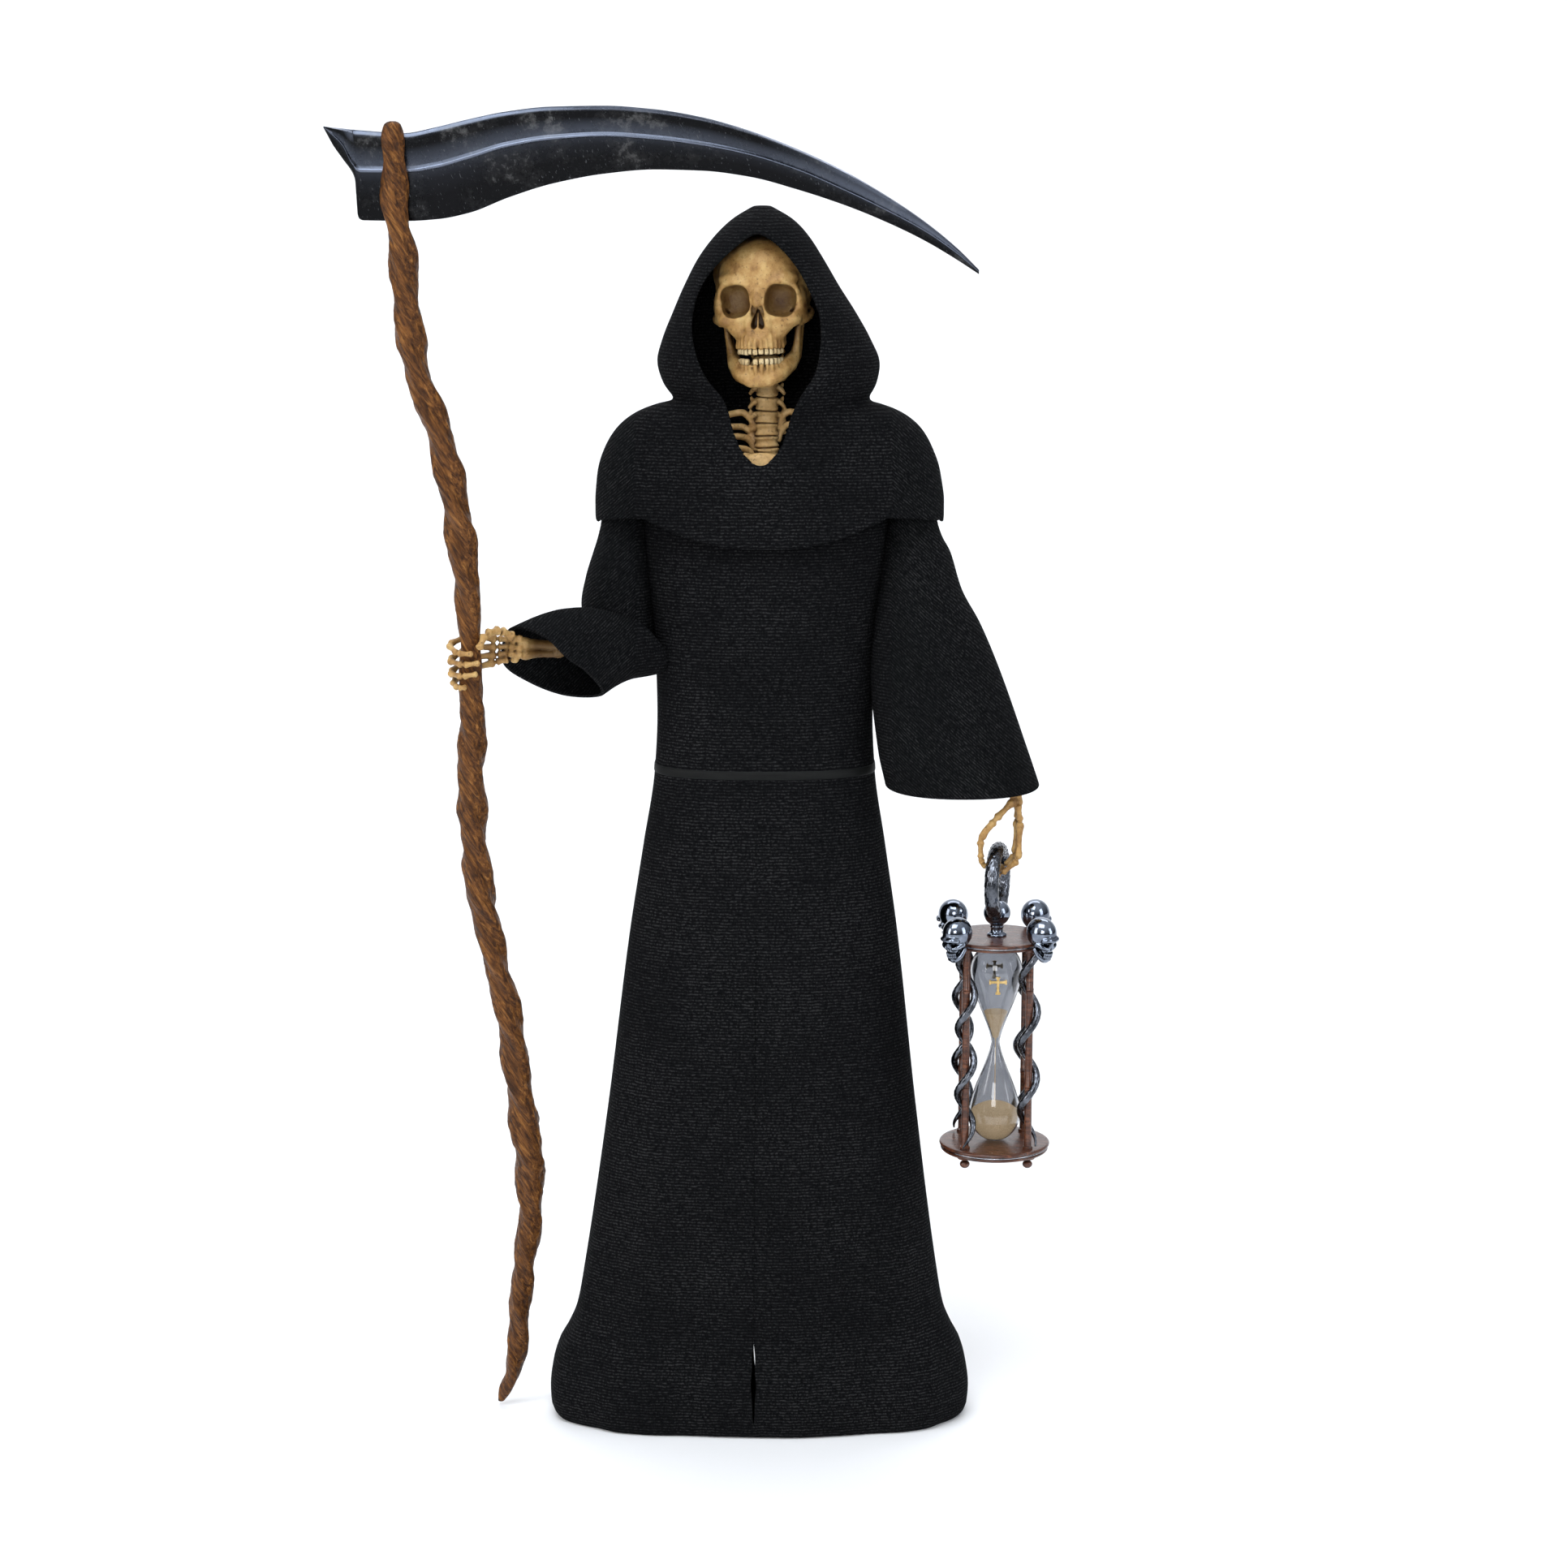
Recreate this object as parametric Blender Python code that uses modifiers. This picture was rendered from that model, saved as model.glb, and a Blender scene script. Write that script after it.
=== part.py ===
"""Grim reaper figurine: a hooded skeleton with a scythe and a hanging hourglass.

Sizes and places are in millimetres and become metres through MM. The figure faces -Y,
+X is to the viewer's right and +Z is up. The origin is on the flat underside of the
robe, below the hood.
"""
import math

import bmesh
import bpy
from mathutils import Matrix, Vector

MM = 0.001
GAP = 0.3  # left between two pieces that touch
CUT_PAST = 8.0  # how far a cutting form runs past the surface that it cuts

# Robe: rows of height, half width, half depth and middle of the width
HEM_ROWS = (
    (0.0, 77.0, 30.5, -2.0),
    (4.0, 79.2, 32.2, -2.0),
    (11.0, 79.7, 32.8, -1.9),
    (20.0, 78.6, 32.4, -1.9),
    (28.0, 76.3, 31.6, -1.8),
    (34.0, 73.0, 31.0, -1.7),
    (42.0, 69.7, 30.4, -1.6),
)
SKIRT_ROWS = (
    (57.0, 66.9, 30.0, -1.5),
    (120.0, 58.0, 28.2, -0.8),
    (188.0, 49.8, 25.8, -0.1),
    (221.0, 44.8, 24.6, 0.2),
)
TORSO_ROWS = (
    (249.0, 40.6, 23.6, 0.4),
    (270.0, 39.6, 23.4, 0.5),
    (300.0, 40.6, 24.0, 0.6),
    (330.0, 44.2, 24.8, 0.6),
    (358.0, 46.0, 22.0, 0.8),
)
BODY_POWER = 2.5
FOLD_COUNT = 9
FOLD_DEPTH = 0.022
BODY_SIDES = 26

# Slit between the two halves of the hem, and the seam above it
SLIT_X = -3.9
SLIT_WIDTH = 1.7
SLIT_LOW = 5.0
SLIT_TOP = 39.0
SEAM_TOP = 197.0
SEAM_WIDTH = 0.7
SEAM_DEPTH = 0.8
SEAM_DRIFT = 1.2  # how far the seam leans to +X on its way up

# Belt, let into a groove round the waist
BELT_HEIGHT = 250.5
BELT_TALL = 3.0
BELT_THICK = 1.1

# Cape and hood
CAPE_WALL = 1.4
HOOD_WALL = 2.0
CAPE_LENGTH = 53.5  # from its top to its hem at the lowest, in the middle
CAPE_HEM_RISE = 11.5  # up to the notches beside the arms
CAPE_NOTCH = 45.0  # half the distance between the notches
CAPE_NOTCH_MIDDLE = 0.6
CAPE_HEM_SLOPE = 0.15  # fall from the notches round the arms to the sides
CAPE_ROWS = (
    (350.0, 63.4, 29.4, 2.3),
    (360.0, 62.0, 28.6, 2.0),
    (368.0, 59.2, 27.2, 1.9),
    (374.5, 55.2, 25.2, 2.0),
    (379.4, 49.4, 22.8, 2.0),
    (383.0, 41.0, 20.2, 2.0),
    (386.0, 26.0, 15.5, 2.0),
)
CAPE_HEM = CAPE_ROWS[-1][0] - CAPE_LENGTH
CAPE_POWER = 2.5
CAPE_SIDES = 22

# Hood rows: height, half width, front depth, back depth, middle of the width
HOOD_ROWS = (
    (371.0, 23.0, 24.5, 17.0, 1.5),
    (383.0, 33.2, 29.5, 24.0, 3.0),
    (391.0, 38.8, 32.3, 28.4, 2.4),
    (398.0, 40.3, 33.0, 30.2, 1.9),
    (406.0, 37.8, 33.0, 30.4, 1.2),
    (416.0, 33.0, 32.2, 30.0, 0.4),
    (426.0, 27.6, 30.8, 28.6, -0.6),
    (435.0, 22.6, 28.0, 25.8, -0.9),
    (443.0, 17.0, 23.0, 20.4, -0.5),
    (449.0, 11.0, 15.6, 13.8, -0.2),
    (453.8, 3.0, 4.4, 4.4, -0.3),
)
HOOD_MIDDLE_Y = 2.0
HOOD_SIDES = 20

# The face opening, as seen from the front at its rim: X and Z, going round
OPENING = (
    (-3.0, 443.7), (-10.5, 438.6), (-17.3, 431.9), (-21.9, 425.3), (-24.4, 418.0),
    (-25.1, 409.3), (-22.8, 399.4), (-19.4, 392.9), (-14.3, 386.6), (-11.7, 380.0),
    (-10.0, 374.0), (-6.3, 366.8), (-0.6, 363.1), (4.9, 367.4), (8.1, 374.0),
    (10.1, 380.6), (13.5, 387.7), (18.1, 394.8), (20.1, 402.8), (20.3, 412.4),
    (18.9, 418.5), (13.5, 429.9), (6.9, 438.4), (1.5, 442.6),
)
OPENING_BACK = -6.0
OPENING_FRONT = -60.0
ROBE_OPENING_MARGIN = 0.8

# Pocket for the neck in the shoulders
POCKET_MIDDLE = (0.5, -6.5)
POCKET_HALF = (20.5, 17.0)
POCKET_FLOOR = 356.0

# Sleeves
SLEEVE_WALL = 1.4
SLEEVE_SIDES = 16
# Right sleeve down to the elbow: middle, half width and half depth
RIGHT_UPPER = (
    ((-50.2, 0.0, 352.0), 8.0, 11.0),
    ((-50.2, 0.0, 341.0), 8.8, 13.0),
    ((-50.6, 0.0, 335.0), 9.7, 14.0),
    ((-51.0, 0.0, 330.0), 10.9, 15.5),
    ((-52.6, 0.0, 320.0), 12.4, 17.0),
    ((-53.4, -0.5, 311.0), 13.2, 16.5),
    ((-52.0, -1.0, 300.0), 12.4, 14.5),
    ((-48.5, -2.0, 291.0), 8.0, 9.0),
)
# Right sleeve at the elbow: middle, half height and half breadth
RIGHT_ELBOW = (
    ((-36.4, -8.0, 291.6), 3.0, 4.0),
    ((-41.5, -9.5, 292.0), 6.6, 9.0),
    ((-50.0, -13.0, 296.0), 11.6, 13.0),
)
RIGHT_BULGE = 5.0
RIGHT_FLOOR = 0.3  # where the cuff's hollow ends, as a share from the elbow to the mouth
FOREARM_ACROSS = Vector((0.79, -0.61, 0.0))
# Mouth of the right sleeve, from its highest point round the near side
RIGHT_MOUTH = (
    (-89.8, -38.0, 306.5), (-77.4, -46.0, 305.2), (-68.6, -47.0, 297.3), (-61.2, -42.0, 290.8),
    (-57.1, -30.0, 281.3), (-70.3, -24.0, 279.8), (-83.7, -24.0, 284.5), (-93.3, -30.0, 293.1),
)
# Left sleeve: height, inner X, outer X, middle Y and half depth
LEFT_SLEEVE = (
    (352.0, 46.6, 62.2, 0.0, 11.0),
    (341.0, 44.8, 63.3, 0.0, 12.6),
    (335.0, 43.8, 65.2, 0.0, 13.6),
    (330.0, 42.8, 68.0, 0.0, 15.5),
    (316.0, 41.4, 72.4, -2.0, 17.2),
    (304.0, 40.0, 79.0, -4.0, 18.0),
    (288.0, 38.9, 85.9, -7.0, 19.0),
    (258.0, 41.8, 96.6, -12.0, 20.5),
    (246.0, 44.4, 100.7, -13.0, 19.5),
)
LEFT_MOUTH_DIP = 2.6
LEFT_CAVITY_TOP = 262.0

# Pegs by which the hands sit in the sleeves
RIGHT_WRIST = (-84.8, -35.8, 299.0)
PEG_RADIUS = 2.3
PEG_DEPTH = 7.0

# Scythe: the staff's middle line and radius, leaning in one plane
LEAN = math.tan(math.radians(10.0))
LEAN_Y = -46.0
LEAN_Z = 287.0
STAFF_POINTS = (
    (-101.2, 1.4, 1.0), (-99.0, 7.0, 2.6), (-96.2, 14.0, 3.2), (-94.2, 26.0, 3.7),
    (-93.0, 40.0, 4.0), (-91.6, 54.0, 4.0), (-89.4, 68.0, 4.3), (-88.0, 80.0, 4.3),
    (-87.4, 93.0, 4.9), (-87.6, 104.0, 5.4), (-88.8, 118.0, 5.1), (-90.4, 131.0, 4.8),
    (-91.4, 143.0, 4.8), (-93.0, 157.0, 4.8), (-94.6, 169.0, 4.7), (-97.4, 180.0, 4.5),
    (-99.4, 193.0, 4.6), (-101.8, 206.0, 5.2), (-103.2, 217.0, 4.9), (-103.8, 230.0, 4.6),
    (-104.4, 240.0, 5.0), (-104.4, 251.0, 4.6), (-103.4, 264.0, 4.8), (-103.0, 277.0, 4.5),
    (-103.0, 290.0, 3.7), (-102.9, 304.0, 3.7), (-102.9, 318.0, 4.2), (-103.9, 331.0, 4.6),
    (-104.8, 343.0, 5.1), (-106.8, 355.0, 4.5), (-108.4, 365.0, 5.1), (-110.2, 375.0, 4.6),
    (-113.2, 384.0, 4.6), (-116.0, 392.0, 4.5), (-118.0, 401.0, 4.4), (-119.6, 410.0, 4.7),
    (-120.4, 420.0, 4.5), (-120.6, 430.0, 4.4), (-120.9, 438.0, 4.8), (-122.0, 447.0, 4.2),
    (-122.7, 456.0, 4.3), (-122.8, 466.0, 4.1), (-122.6, 476.0, 3.8), (-122.4, 481.0, 2.6),
)
STAFF_SIDES = 7
STAFF_TWIST = 0.13
STAFF_FLUTE = 0.10

# Scythe blade: X, and heights of the back, the rib and the edge
BLADE_SECTIONS = (
    (-146.0, 480.4, 480.1, 479.8),
    (-143.0, 480.0, 477.6, 474.0),
    (-139.6, 479.7, 474.0, 469.0),
    (-136.6, 479.4, 468.4, 463.4),
    (-135.0, 479.2, 465.8, 449.6),
    (-119.0, 478.2, 465.8, 449.2),
    (-109.0, 480.0, 467.2, 449.8),
    (-98.0, 482.6, 470.2, 452.0),
    (-85.0, 485.2, 474.0, 457.0),
    (-70.0, 486.8, 476.4, 461.6),
    (-52.0, 487.1, 477.4, 464.9),
    (-36.0, 486.0, 476.4, 466.2),
    (-20.0, 483.4, 474.4, 465.8),
    (-4.0, 479.0, 471.2, 463.8),
    (12.0, 473.0, 466.2, 459.6),
    (28.0, 465.6, 459.4, 454.4),
    (42.0, 457.6, 452.8, 448.8),
    (55.0, 449.0, 445.9, 442.6),
    (66.0, 440.2, 438.4, 436.2),
    (73.5, 432.9, 432.2, 431.4),
)
BLADE_THICK = 3.6
BLADE_EDGE = 0.6
BLADE_BEHIND = 3.4  # the blade's middle plane behind the staff's middle line

# Skull, symmetric about its own middle and turned to its right
SKULL_PLACE = (1.0, 0.0)
SKULL_TURN = math.radians(-7.7)

# Hourglass
GLASS_AXIS = (85.6, -18.0)
BASE_RADIUS = 20.4
BASE_TOP = 112.2
BASE_THICK = 3.2
TOP_RADIUS = 18.8
TOP_TOP = 190.1
TOP_THICK = 2.8
FOOT_RADIUS = 1.9
FOOT_TALL = 4.0
POST_RADIUS = 1.3
POST_RING = 16.3
GLASS_RADIUS = 9.6
GLASS_NECK = 1.5
GLASS_SHOULDER = 0.28  # height of the widest place, as a share of one bulb
PLATE_SIDES = 22
ROUND_SIDES = 8

# Serpents round the posts
SERPENT_RADIUS = 1.25
SERPENT_PITCH = 24.8
SERPENT_LEAD = math.radians(20.0)
STEPS_PER_TURN = 8
HEAD_RADIUS = 5.3
HEAD_RING = 21.8
HEAD_HEIGHT = TOP_TOP + 4.2

# Ring handle on top of the hourglass
RING_RADIUS = 11.8  # of the ring's middle line, which starts in the middle of the ball
RING_TUBE = 2.55
BALL_RADIUS = 4.9
BALL_HEIGHT = TOP_TOP + GAP + BALL_RADIUS + 3.3
COLLAR_RADIUS = 2.3
RING_TURN = math.radians(14.0)

# Crosses on the upper bulb
CROSS_TALL = 6.6
CROSS_WIDE = 6.6
CROSS_BAR = 1.1
CROSS_THICK = 0.9

# Neck bones, from the shoulders to the underside of the skull
NECK_BONES = 9
NECK_TOP = 406.0

# Voxel and face counts of the bone forms
BONE_VOXEL = 0.45
SKULL_VOXEL = 0.7
SKULL_FACES = 800
NECK_FACES = 360
RIGHT_HAND_FACES = 480
LEFT_HAND_FACES = 380
HEAD_FACES = 100

parts = bpy.data.collections.new("grim_reaper_figurine")
cutters = bpy.data.collections.new("cutters")


def start_empty():
    """Clear the scene and add the two collections."""
    for old in list(bpy.data.objects):
        bpy.data.objects.remove(old, do_unlink=True)
    bpy.context.scene.collection.children.link(parts)
    bpy.context.scene.collection.children.link(cutters)


def material(name, colour, roughness, metallic=0.0):
    """A plain surface of one colour."""
    made = bpy.data.materials.new(name)
    made.use_nodes = True
    shader = made.node_tree.nodes["Principled BSDF"]
    shader.inputs["Base Color"].default_value = (*colour, 1.0)
    shader.inputs["Roughness"].default_value = roughness
    shader.inputs["Metallic"].default_value = metallic
    return made


def add(name, bm, collection):
    """Turn a bmesh into an object."""
    mesh = bpy.data.meshes.new(name)
    bm.to_mesh(mesh)
    bm.free()
    made = bpy.data.objects.new(name, mesh)
    collection.objects.link(made)
    return made


def bake(target):
    """Replace an object's mesh by what its modifiers make of it."""
    bpy.context.view_layer.update()
    graph = bpy.context.evaluated_depsgraph_get()
    mesh = bpy.data.meshes.new_from_object(target.evaluated_get(graph))
    target.modifiers.clear()
    target.data = mesh


def combine(target, tool, operation, solver="EXACT"):
    """Join, cut or intersect target with tool, which is used up."""
    change = target.modifiers.new(operation, "BOOLEAN")
    change.operation = operation
    change.solver = solver
    change.object = tool
    bake(target)
    bpy.data.objects.remove(tool, do_unlink=True)


def skin(rows, ends="fan"):
    """Faces over rows of points, with a fan or flat end at each end, or joined end to end."""
    bm = bmesh.new()
    loops = [[bm.verts.new(point) for point in row] for row in rows]
    pairs = list(zip(loops, loops[1:]))
    if ends == "joined":
        pairs.append((loops[-1], loops[0]))
    for low, high in pairs:
        for i, start in enumerate(low):
            j = (i + 1) % len(low)
            bm.faces.new((start, low[j], high[j], high[i]))
    if ends == "flat":
        bm.faces.new(loops[0])
        bm.faces.new(loops[-1])
    if ends == "fan":
        for loop in (loops[0], loops[-1]):
            middle = sum((v.co for v in loop), Vector()) / len(loop)
            tip = bm.verts.new(middle)
            for i, start in enumerate(loop):
                bm.faces.new((start, loop[(i + 1) % len(loop)], tip))
    bmesh.ops.recalc_face_normals(bm, faces=bm.faces)
    return bm


def rounded(angle, half_x, half_y, power):
    """A point of a rounded oblong, by its angle."""
    across, along = math.cos(angle), math.sin(angle)
    x = half_x * math.copysign(abs(across) ** (2.0 / power), across)
    y = half_y * math.copysign(abs(along) ** (2.0 / power), along)
    return x, y


def turns(count):
    """Equal angles once round."""
    return [2.0 * math.pi * i / count for i in range(count)]


def between(rows, height):
    """The row of a table at a height, worked out between its neighbours."""
    if height <= rows[0][0]:
        return rows[0][1:]
    for low, high in zip(rows, rows[1:]):
        if height <= high[0]:
            share = (height - low[0]) / (high[0] - low[0])
            return tuple(a + (b - a) * share for a, b in zip(low[1:], high[1:]))
    return rows[-1][1:]


def smooth_loop(points, steps):
    """A closed smooth curve through points, with steps between each two."""
    curve = []
    count = len(points)
    for i in range(count):
        a, b, c, d = (Vector(points[(i + k) % count]) for k in (-1, 0, 1, 2))
        for step in range(steps):
            t = step / steps
            curve.append(
                0.5 * (2 * b + (c - a) * t + (2 * a - 5 * b + 4 * c - d) * t ** 2
                       + (3 * b - a - 3 * c + d) * t ** 3))
    return curve


# Robe

BODY_ROWS = HEM_ROWS + SKIRT_ROWS + TORSO_ROWS


def body_ring(height, outward=0.0):
    """One level of the robe's body, with soft folds that fade towards the belt."""
    half_x, half_y, middle = between(BODY_ROWS, height)
    fade = max(0.0, 1.0 - height / BELT_HEIGHT)
    ring = []
    for angle in turns(BODY_SIDES):
        x, y = rounded(angle, half_x + outward, half_y + outward, BODY_POWER)
        side = abs(math.cos(angle)) ** 6
        fold = 1.0 + FOLD_DEPTH * fade * (1.0 - side) * math.cos(FOLD_COUNT * angle + 0.6)
        ring.append((middle + x * fold, y * fold, height))
    return ring


def cape_ring(row):
    """One level of the cape."""
    height, half_x, half_y, middle = row
    return [(middle + x, y, height) for x, y in
            (rounded(a, half_x, half_y, CAPE_POWER) for a in turns(CAPE_SIDES))]


def hem_height(x, y):
    """Height of the cape's hem: it dips between the arms and is nearly level over them."""
    share = abs(x - CAPE_NOTCH_MIDDLE) / CAPE_NOTCH
    if share < 1.0:
        return CAPE_HEM + CAPE_HEM_RISE * share ** 2.2
    return CAPE_HEM + CAPE_HEM_RISE + CAPE_HEM_SLOPE * (abs(y) - 0.9 * CAPE_ROWS[0][2])


def hem_ring(inset, lift):
    """The cape's hem."""
    _, half_x, half_y, middle = CAPE_ROWS[0]
    ring = []
    for angle in turns(CAPE_SIDES):
        x, y = rounded(angle, half_x - inset, half_y - inset, CAPE_POWER)
        ring.append((middle + x, y, hem_height(middle + x, y) + lift))
    return ring


def shrink(rows, inset):
    """Profile rows moved inwards, square to the profile, by inset."""
    moved = []
    for i, row in enumerate(rows):
        low, high = rows[max(i - 1, 0)], rows[min(i + 1, len(rows) - 1)]
        slope = Vector((high[1] - low[1], high[0] - low[0])).normalized()
        out, up = slope.y, -slope.x
        sizes = [size - inset * out for size in row[1:-1]]
        moved.append((row[0] - inset * up, *sizes, row[-1]))
    return moved


def cape_solid(name, inset, lift, foot=None):
    """The cape's outer form, or the same form moved inwards with fewer rows."""
    rings = [hem_ring(inset, lift)]
    if foot is not None:
        rings.insert(0, [(x, y, foot) for x, y, _ in rings[0]])
    rows = shrink(CAPE_ROWS, inset)
    rings += [cape_ring(row) for row in (rows[::2] if inset else rows)]
    return add(name, skin(rings), cutters)


def hood_ring(row):
    """One level of the hood, deeper in front than behind."""
    height, half_x, front, back, middle = row
    ring = []
    for angle in turns(HOOD_SIDES):
        depth = back if math.sin(angle) > 0 else front
        x, y = rounded(angle, half_x, depth, 2.0)
        ring.append((middle + x, HOOD_MIDDLE_Y + y, height))
    return ring


def hood_solid(name, inset):
    """The hood's outer form, or the same form moved inwards."""
    rows = shrink(HOOD_ROWS, inset)
    return add(name, skin([hood_ring(row) for row in (rows[::2] if inset else rows)]), cutters)


def opening_solid(name, margin):
    """The face opening's outline, run from front to back."""
    middle = Vector((-1.0, 405.0))
    outline = [Vector(point) for point in OPENING]
    outline = [p + (p - middle).normalized() * margin for p in outline]
    rows = [[(p.x, y, p.y) for p in outline] for y in (OPENING_FRONT, OPENING_BACK)]
    return add(name, skin(rows, ends="flat"), cutters)


def level_ring(middle, half_x, half_y, power=2.0, sides=SLEEVE_SIDES):
    """A level rounded ring about a point."""
    return [(middle[0] + x, middle[1] + y, middle[2]) for x, y in
            (rounded(a, half_x, half_y, power) for a in turns(sides))]


def elbow_rings():
    """Rings of the right sleeve round the elbow."""
    rings = []
    for middle, half_z, half_out in RIGHT_ELBOW:
        ring = []
        for angle in turns(SLEEVE_SIDES):
            up = Vector((0.0, 0.0, math.cos(angle) * half_z))
            ring.append(Vector(middle) + up + FOREARM_ACROSS * (math.sin(angle) * half_out))
        rings.append(ring)
    return rings


def forearm_ring(share):
    """A ring of the right sleeve, by its share of the way from the elbow to the mouth."""
    mouth = smooth_loop(RIGHT_MOUTH, SLEEVE_SIDES // len(RIGHT_MOUTH))
    ring = []
    for angle, start, end in zip(turns(SLEEVE_SIDES), elbow_rings()[-1], mouth):
        lift = RIGHT_BULGE * math.sin(math.pi * share) * max(0.0, math.cos(angle))
        ring.append(start.lerp(end, share) + Vector((0.0, 0.0, lift)))
    return ring


def inset_ring(ring, inset):
    """A ring with each point moved towards its middle."""
    centre = sum(ring, Vector()) / len(ring)
    return [p + (centre - p).normalized() * inset for p in ring]


def left_rings(inset, rows):
    """Rings of the left sleeve, the lowest dipping at its front."""
    rings = []
    for height, inner, outer, middle_y, half_y in rows:
        middle = ((inner + outer) / 2, middle_y, height)
        rings.append(level_ring(middle, (outer - inner) / 2 - inset, half_y - inset, 2.3))
    middle_y, half_y = rows[-1][3], rows[-1][4]
    rings[-1] = [(x, y, z + LEFT_MOUTH_DIP * (y - middle_y) / half_y) for x, y, z in rings[-1]]
    return rings


def past_mouth(rings, drop):
    """A cavity's rings with one more beyond the mouth, so that it cuts clean through."""
    return rings + [[Vector(p) + drop for p in rings[-1]]]


def right_peg_line():
    """Start and end of the peg that holds the right hand in its sleeve."""
    start = sum(forearm_ring(RIGHT_FLOOR), Vector()) / SLEEVE_SIDES
    return start, start - (Vector(RIGHT_WRIST) - start).normalized() * PEG_DEPTH


def left_peg_line():
    """Start and end of the peg that holds the left hand in its sleeve."""
    start = Vector((88.0, -17.0, LEFT_CAVITY_TOP))
    return start, start + Vector((-0.15, 0.1, 1.0)).normalized() * PEG_DEPTH


def rod(name, start, end, radius, collection, sides=8):
    """A round bar between two points."""
    start, end = Vector(start), Vector(end)
    line = end - start
    turn = line.to_track_quat("Z", "Y").to_matrix().to_4x4()
    bm = bmesh.new()
    bmesh.ops.create_cone(
        bm, cap_ends=True, segments=sides, radius1=radius, radius2=radius, depth=line.length,
        matrix=Matrix.Translation((start + end) / 2) @ turn)
    return add(name, bm, collection)


def make_robe(cloth):
    """Gown with both sleeves: hollow cuffs, a neck pocket, a belt groove and a slit."""
    robe = add("robe", skin([body_ring(row[0]) for row in BODY_ROWS]), parts)
    upper = [level_ring(middle, x, y) for middle, x, y in RIGHT_UPPER]
    lower = elbow_rings() + [forearm_ring(share) for share in (0.35, 0.7, 1.0)]
    for form in (cape_solid("shoulders", CAPE_WALL + GAP, 1.6),
                 add("right_upper", skin(upper), cutters),
                 add("right_forearm", skin(lower), cutters),
                 add("left_sleeve", skin(left_rings(0.0, LEFT_SLEEVE)), cutters)):
        combine(robe, form, "UNION", "MANIFOLD")
    for hollow in robe_hollows():
        combine(robe, hollow, "DIFFERENCE", "MANIFOLD")
    robe.data.materials.append(cloth)
    return robe


def robe_hollows():
    """Everything that is cut out of the robe."""
    right = [inset_ring(forearm_ring(share), SLEEVE_WALL) for share in (RIGHT_FLOOR, 0.7, 1.0)]
    right = past_mouth(right, Vector((-3.6, -6.5, -6.7)))
    top = (LEFT_CAVITY_TOP, 60.0, 94.2, -11.6, 14.0)
    left = left_rings(SLEEVE_WALL, (top,) + LEFT_SLEEVE[-2:])
    left = past_mouth(left, Vector((0.0, 0.0, -8.0)))
    pocket = [level_ring((*POCKET_MIDDLE, z), *POCKET_HALF)
              for z in (POCKET_FLOOR, CAPE_ROWS[-1][0] + 10.0)]
    sockets = []
    for name, line in (("right_socket", right_peg_line()), ("left_socket", left_peg_line())):
        start, end = line
        along = (end - start).normalized()
        reach = end + along * (PEG_RADIUS + GAP)
        sockets.append(rod(name, start - along * 3.0, reach, PEG_RADIUS + GAP, cutters))
    return [
        add("right_cuff", skin(right), cutters), add("left_cuff", skin(left), cutters),
        add("neck_pocket", skin(pocket), cutters),
        opening_solid("robe_opening", ROBE_OPENING_MARGIN), *sockets,
        belt_band("belt_groove", GAP, 1.5), slit_solid(), seam_solid()]


def front_of_body(height, x):
    """Y of the robe's front at a height, on the flat face that lies at x."""
    ring = body_ring(height)
    for near, far in zip(ring, ring[1:] + ring[:1]):
        if far[1] < 0.0 and near[0] <= x <= far[0]:
            share = (x - near[0]) / (far[0] - near[0])
            return near[1] + (far[1] - near[1]) * share
    return -between(BODY_ROWS, height)[1]


def slit_solid():
    """A lens-shaped opening between the two halves of the hem, from front to back."""
    steps = 8
    outline = []
    for side in (1, -1):
        for i in range(steps):
            share = i / steps if side > 0 else 1.0 - i / steps
            bulge = math.sin(math.pi * share)
            height = SLIT_LOW + (SLIT_TOP - SLIT_LOW) * share
            outline.append((SLIT_X + side * SLIT_WIDTH / 2 * bulge, height))
    reach = HEM_ROWS[2][2] + CUT_PAST
    rows = [[(x, y, z) for x, z in outline] for y in (-reach, reach)]
    return add("slit", skin(rows), cutters)


def seam_solid():
    """The shallow groove of the front seam, from the slit upwards."""
    heights = [row[0] for row in BODY_ROWS if SLIT_TOP < row[0] < SEAM_TOP]
    rows = []
    for height in [SLIT_TOP, *heights, SEAM_TOP]:
        x = SLIT_X + SEAM_DRIFT * (height - SLIT_TOP) / (SEAM_TOP - SLIT_TOP)
        front = front_of_body(height, x)
        near, far = front - CUT_PAST, front + SEAM_DEPTH
        half = SEAM_WIDTH / 2
        rows.append([(x - half, near, height), (x + half, near, height),
                     (x + half, far, height), (x - half, far, height)])
    return add("seam", skin(rows), cutters)


def belt_band(name, clearance, outward):
    """A band round the waist, from inside the robe to its surface and past it."""
    low = BELT_HEIGHT - BELT_TALL / 2 - clearance
    high = BELT_HEIGHT + BELT_TALL / 2 + clearance
    inner = -BELT_THICK - clearance
    rows = [body_ring(low, inner), body_ring(low, outward), body_ring(high, outward),
            body_ring(high, inner)]
    return add(name, skin(rows, ends="joined"), cutters)


def make_belt(satin):
    """The narrow band let in flush round the waist."""
    belt = belt_band("belt", 0.0, 0.0)
    cutters.objects.unlink(belt)
    parts.objects.link(belt)
    belt.data.materials.append(satin)


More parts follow.
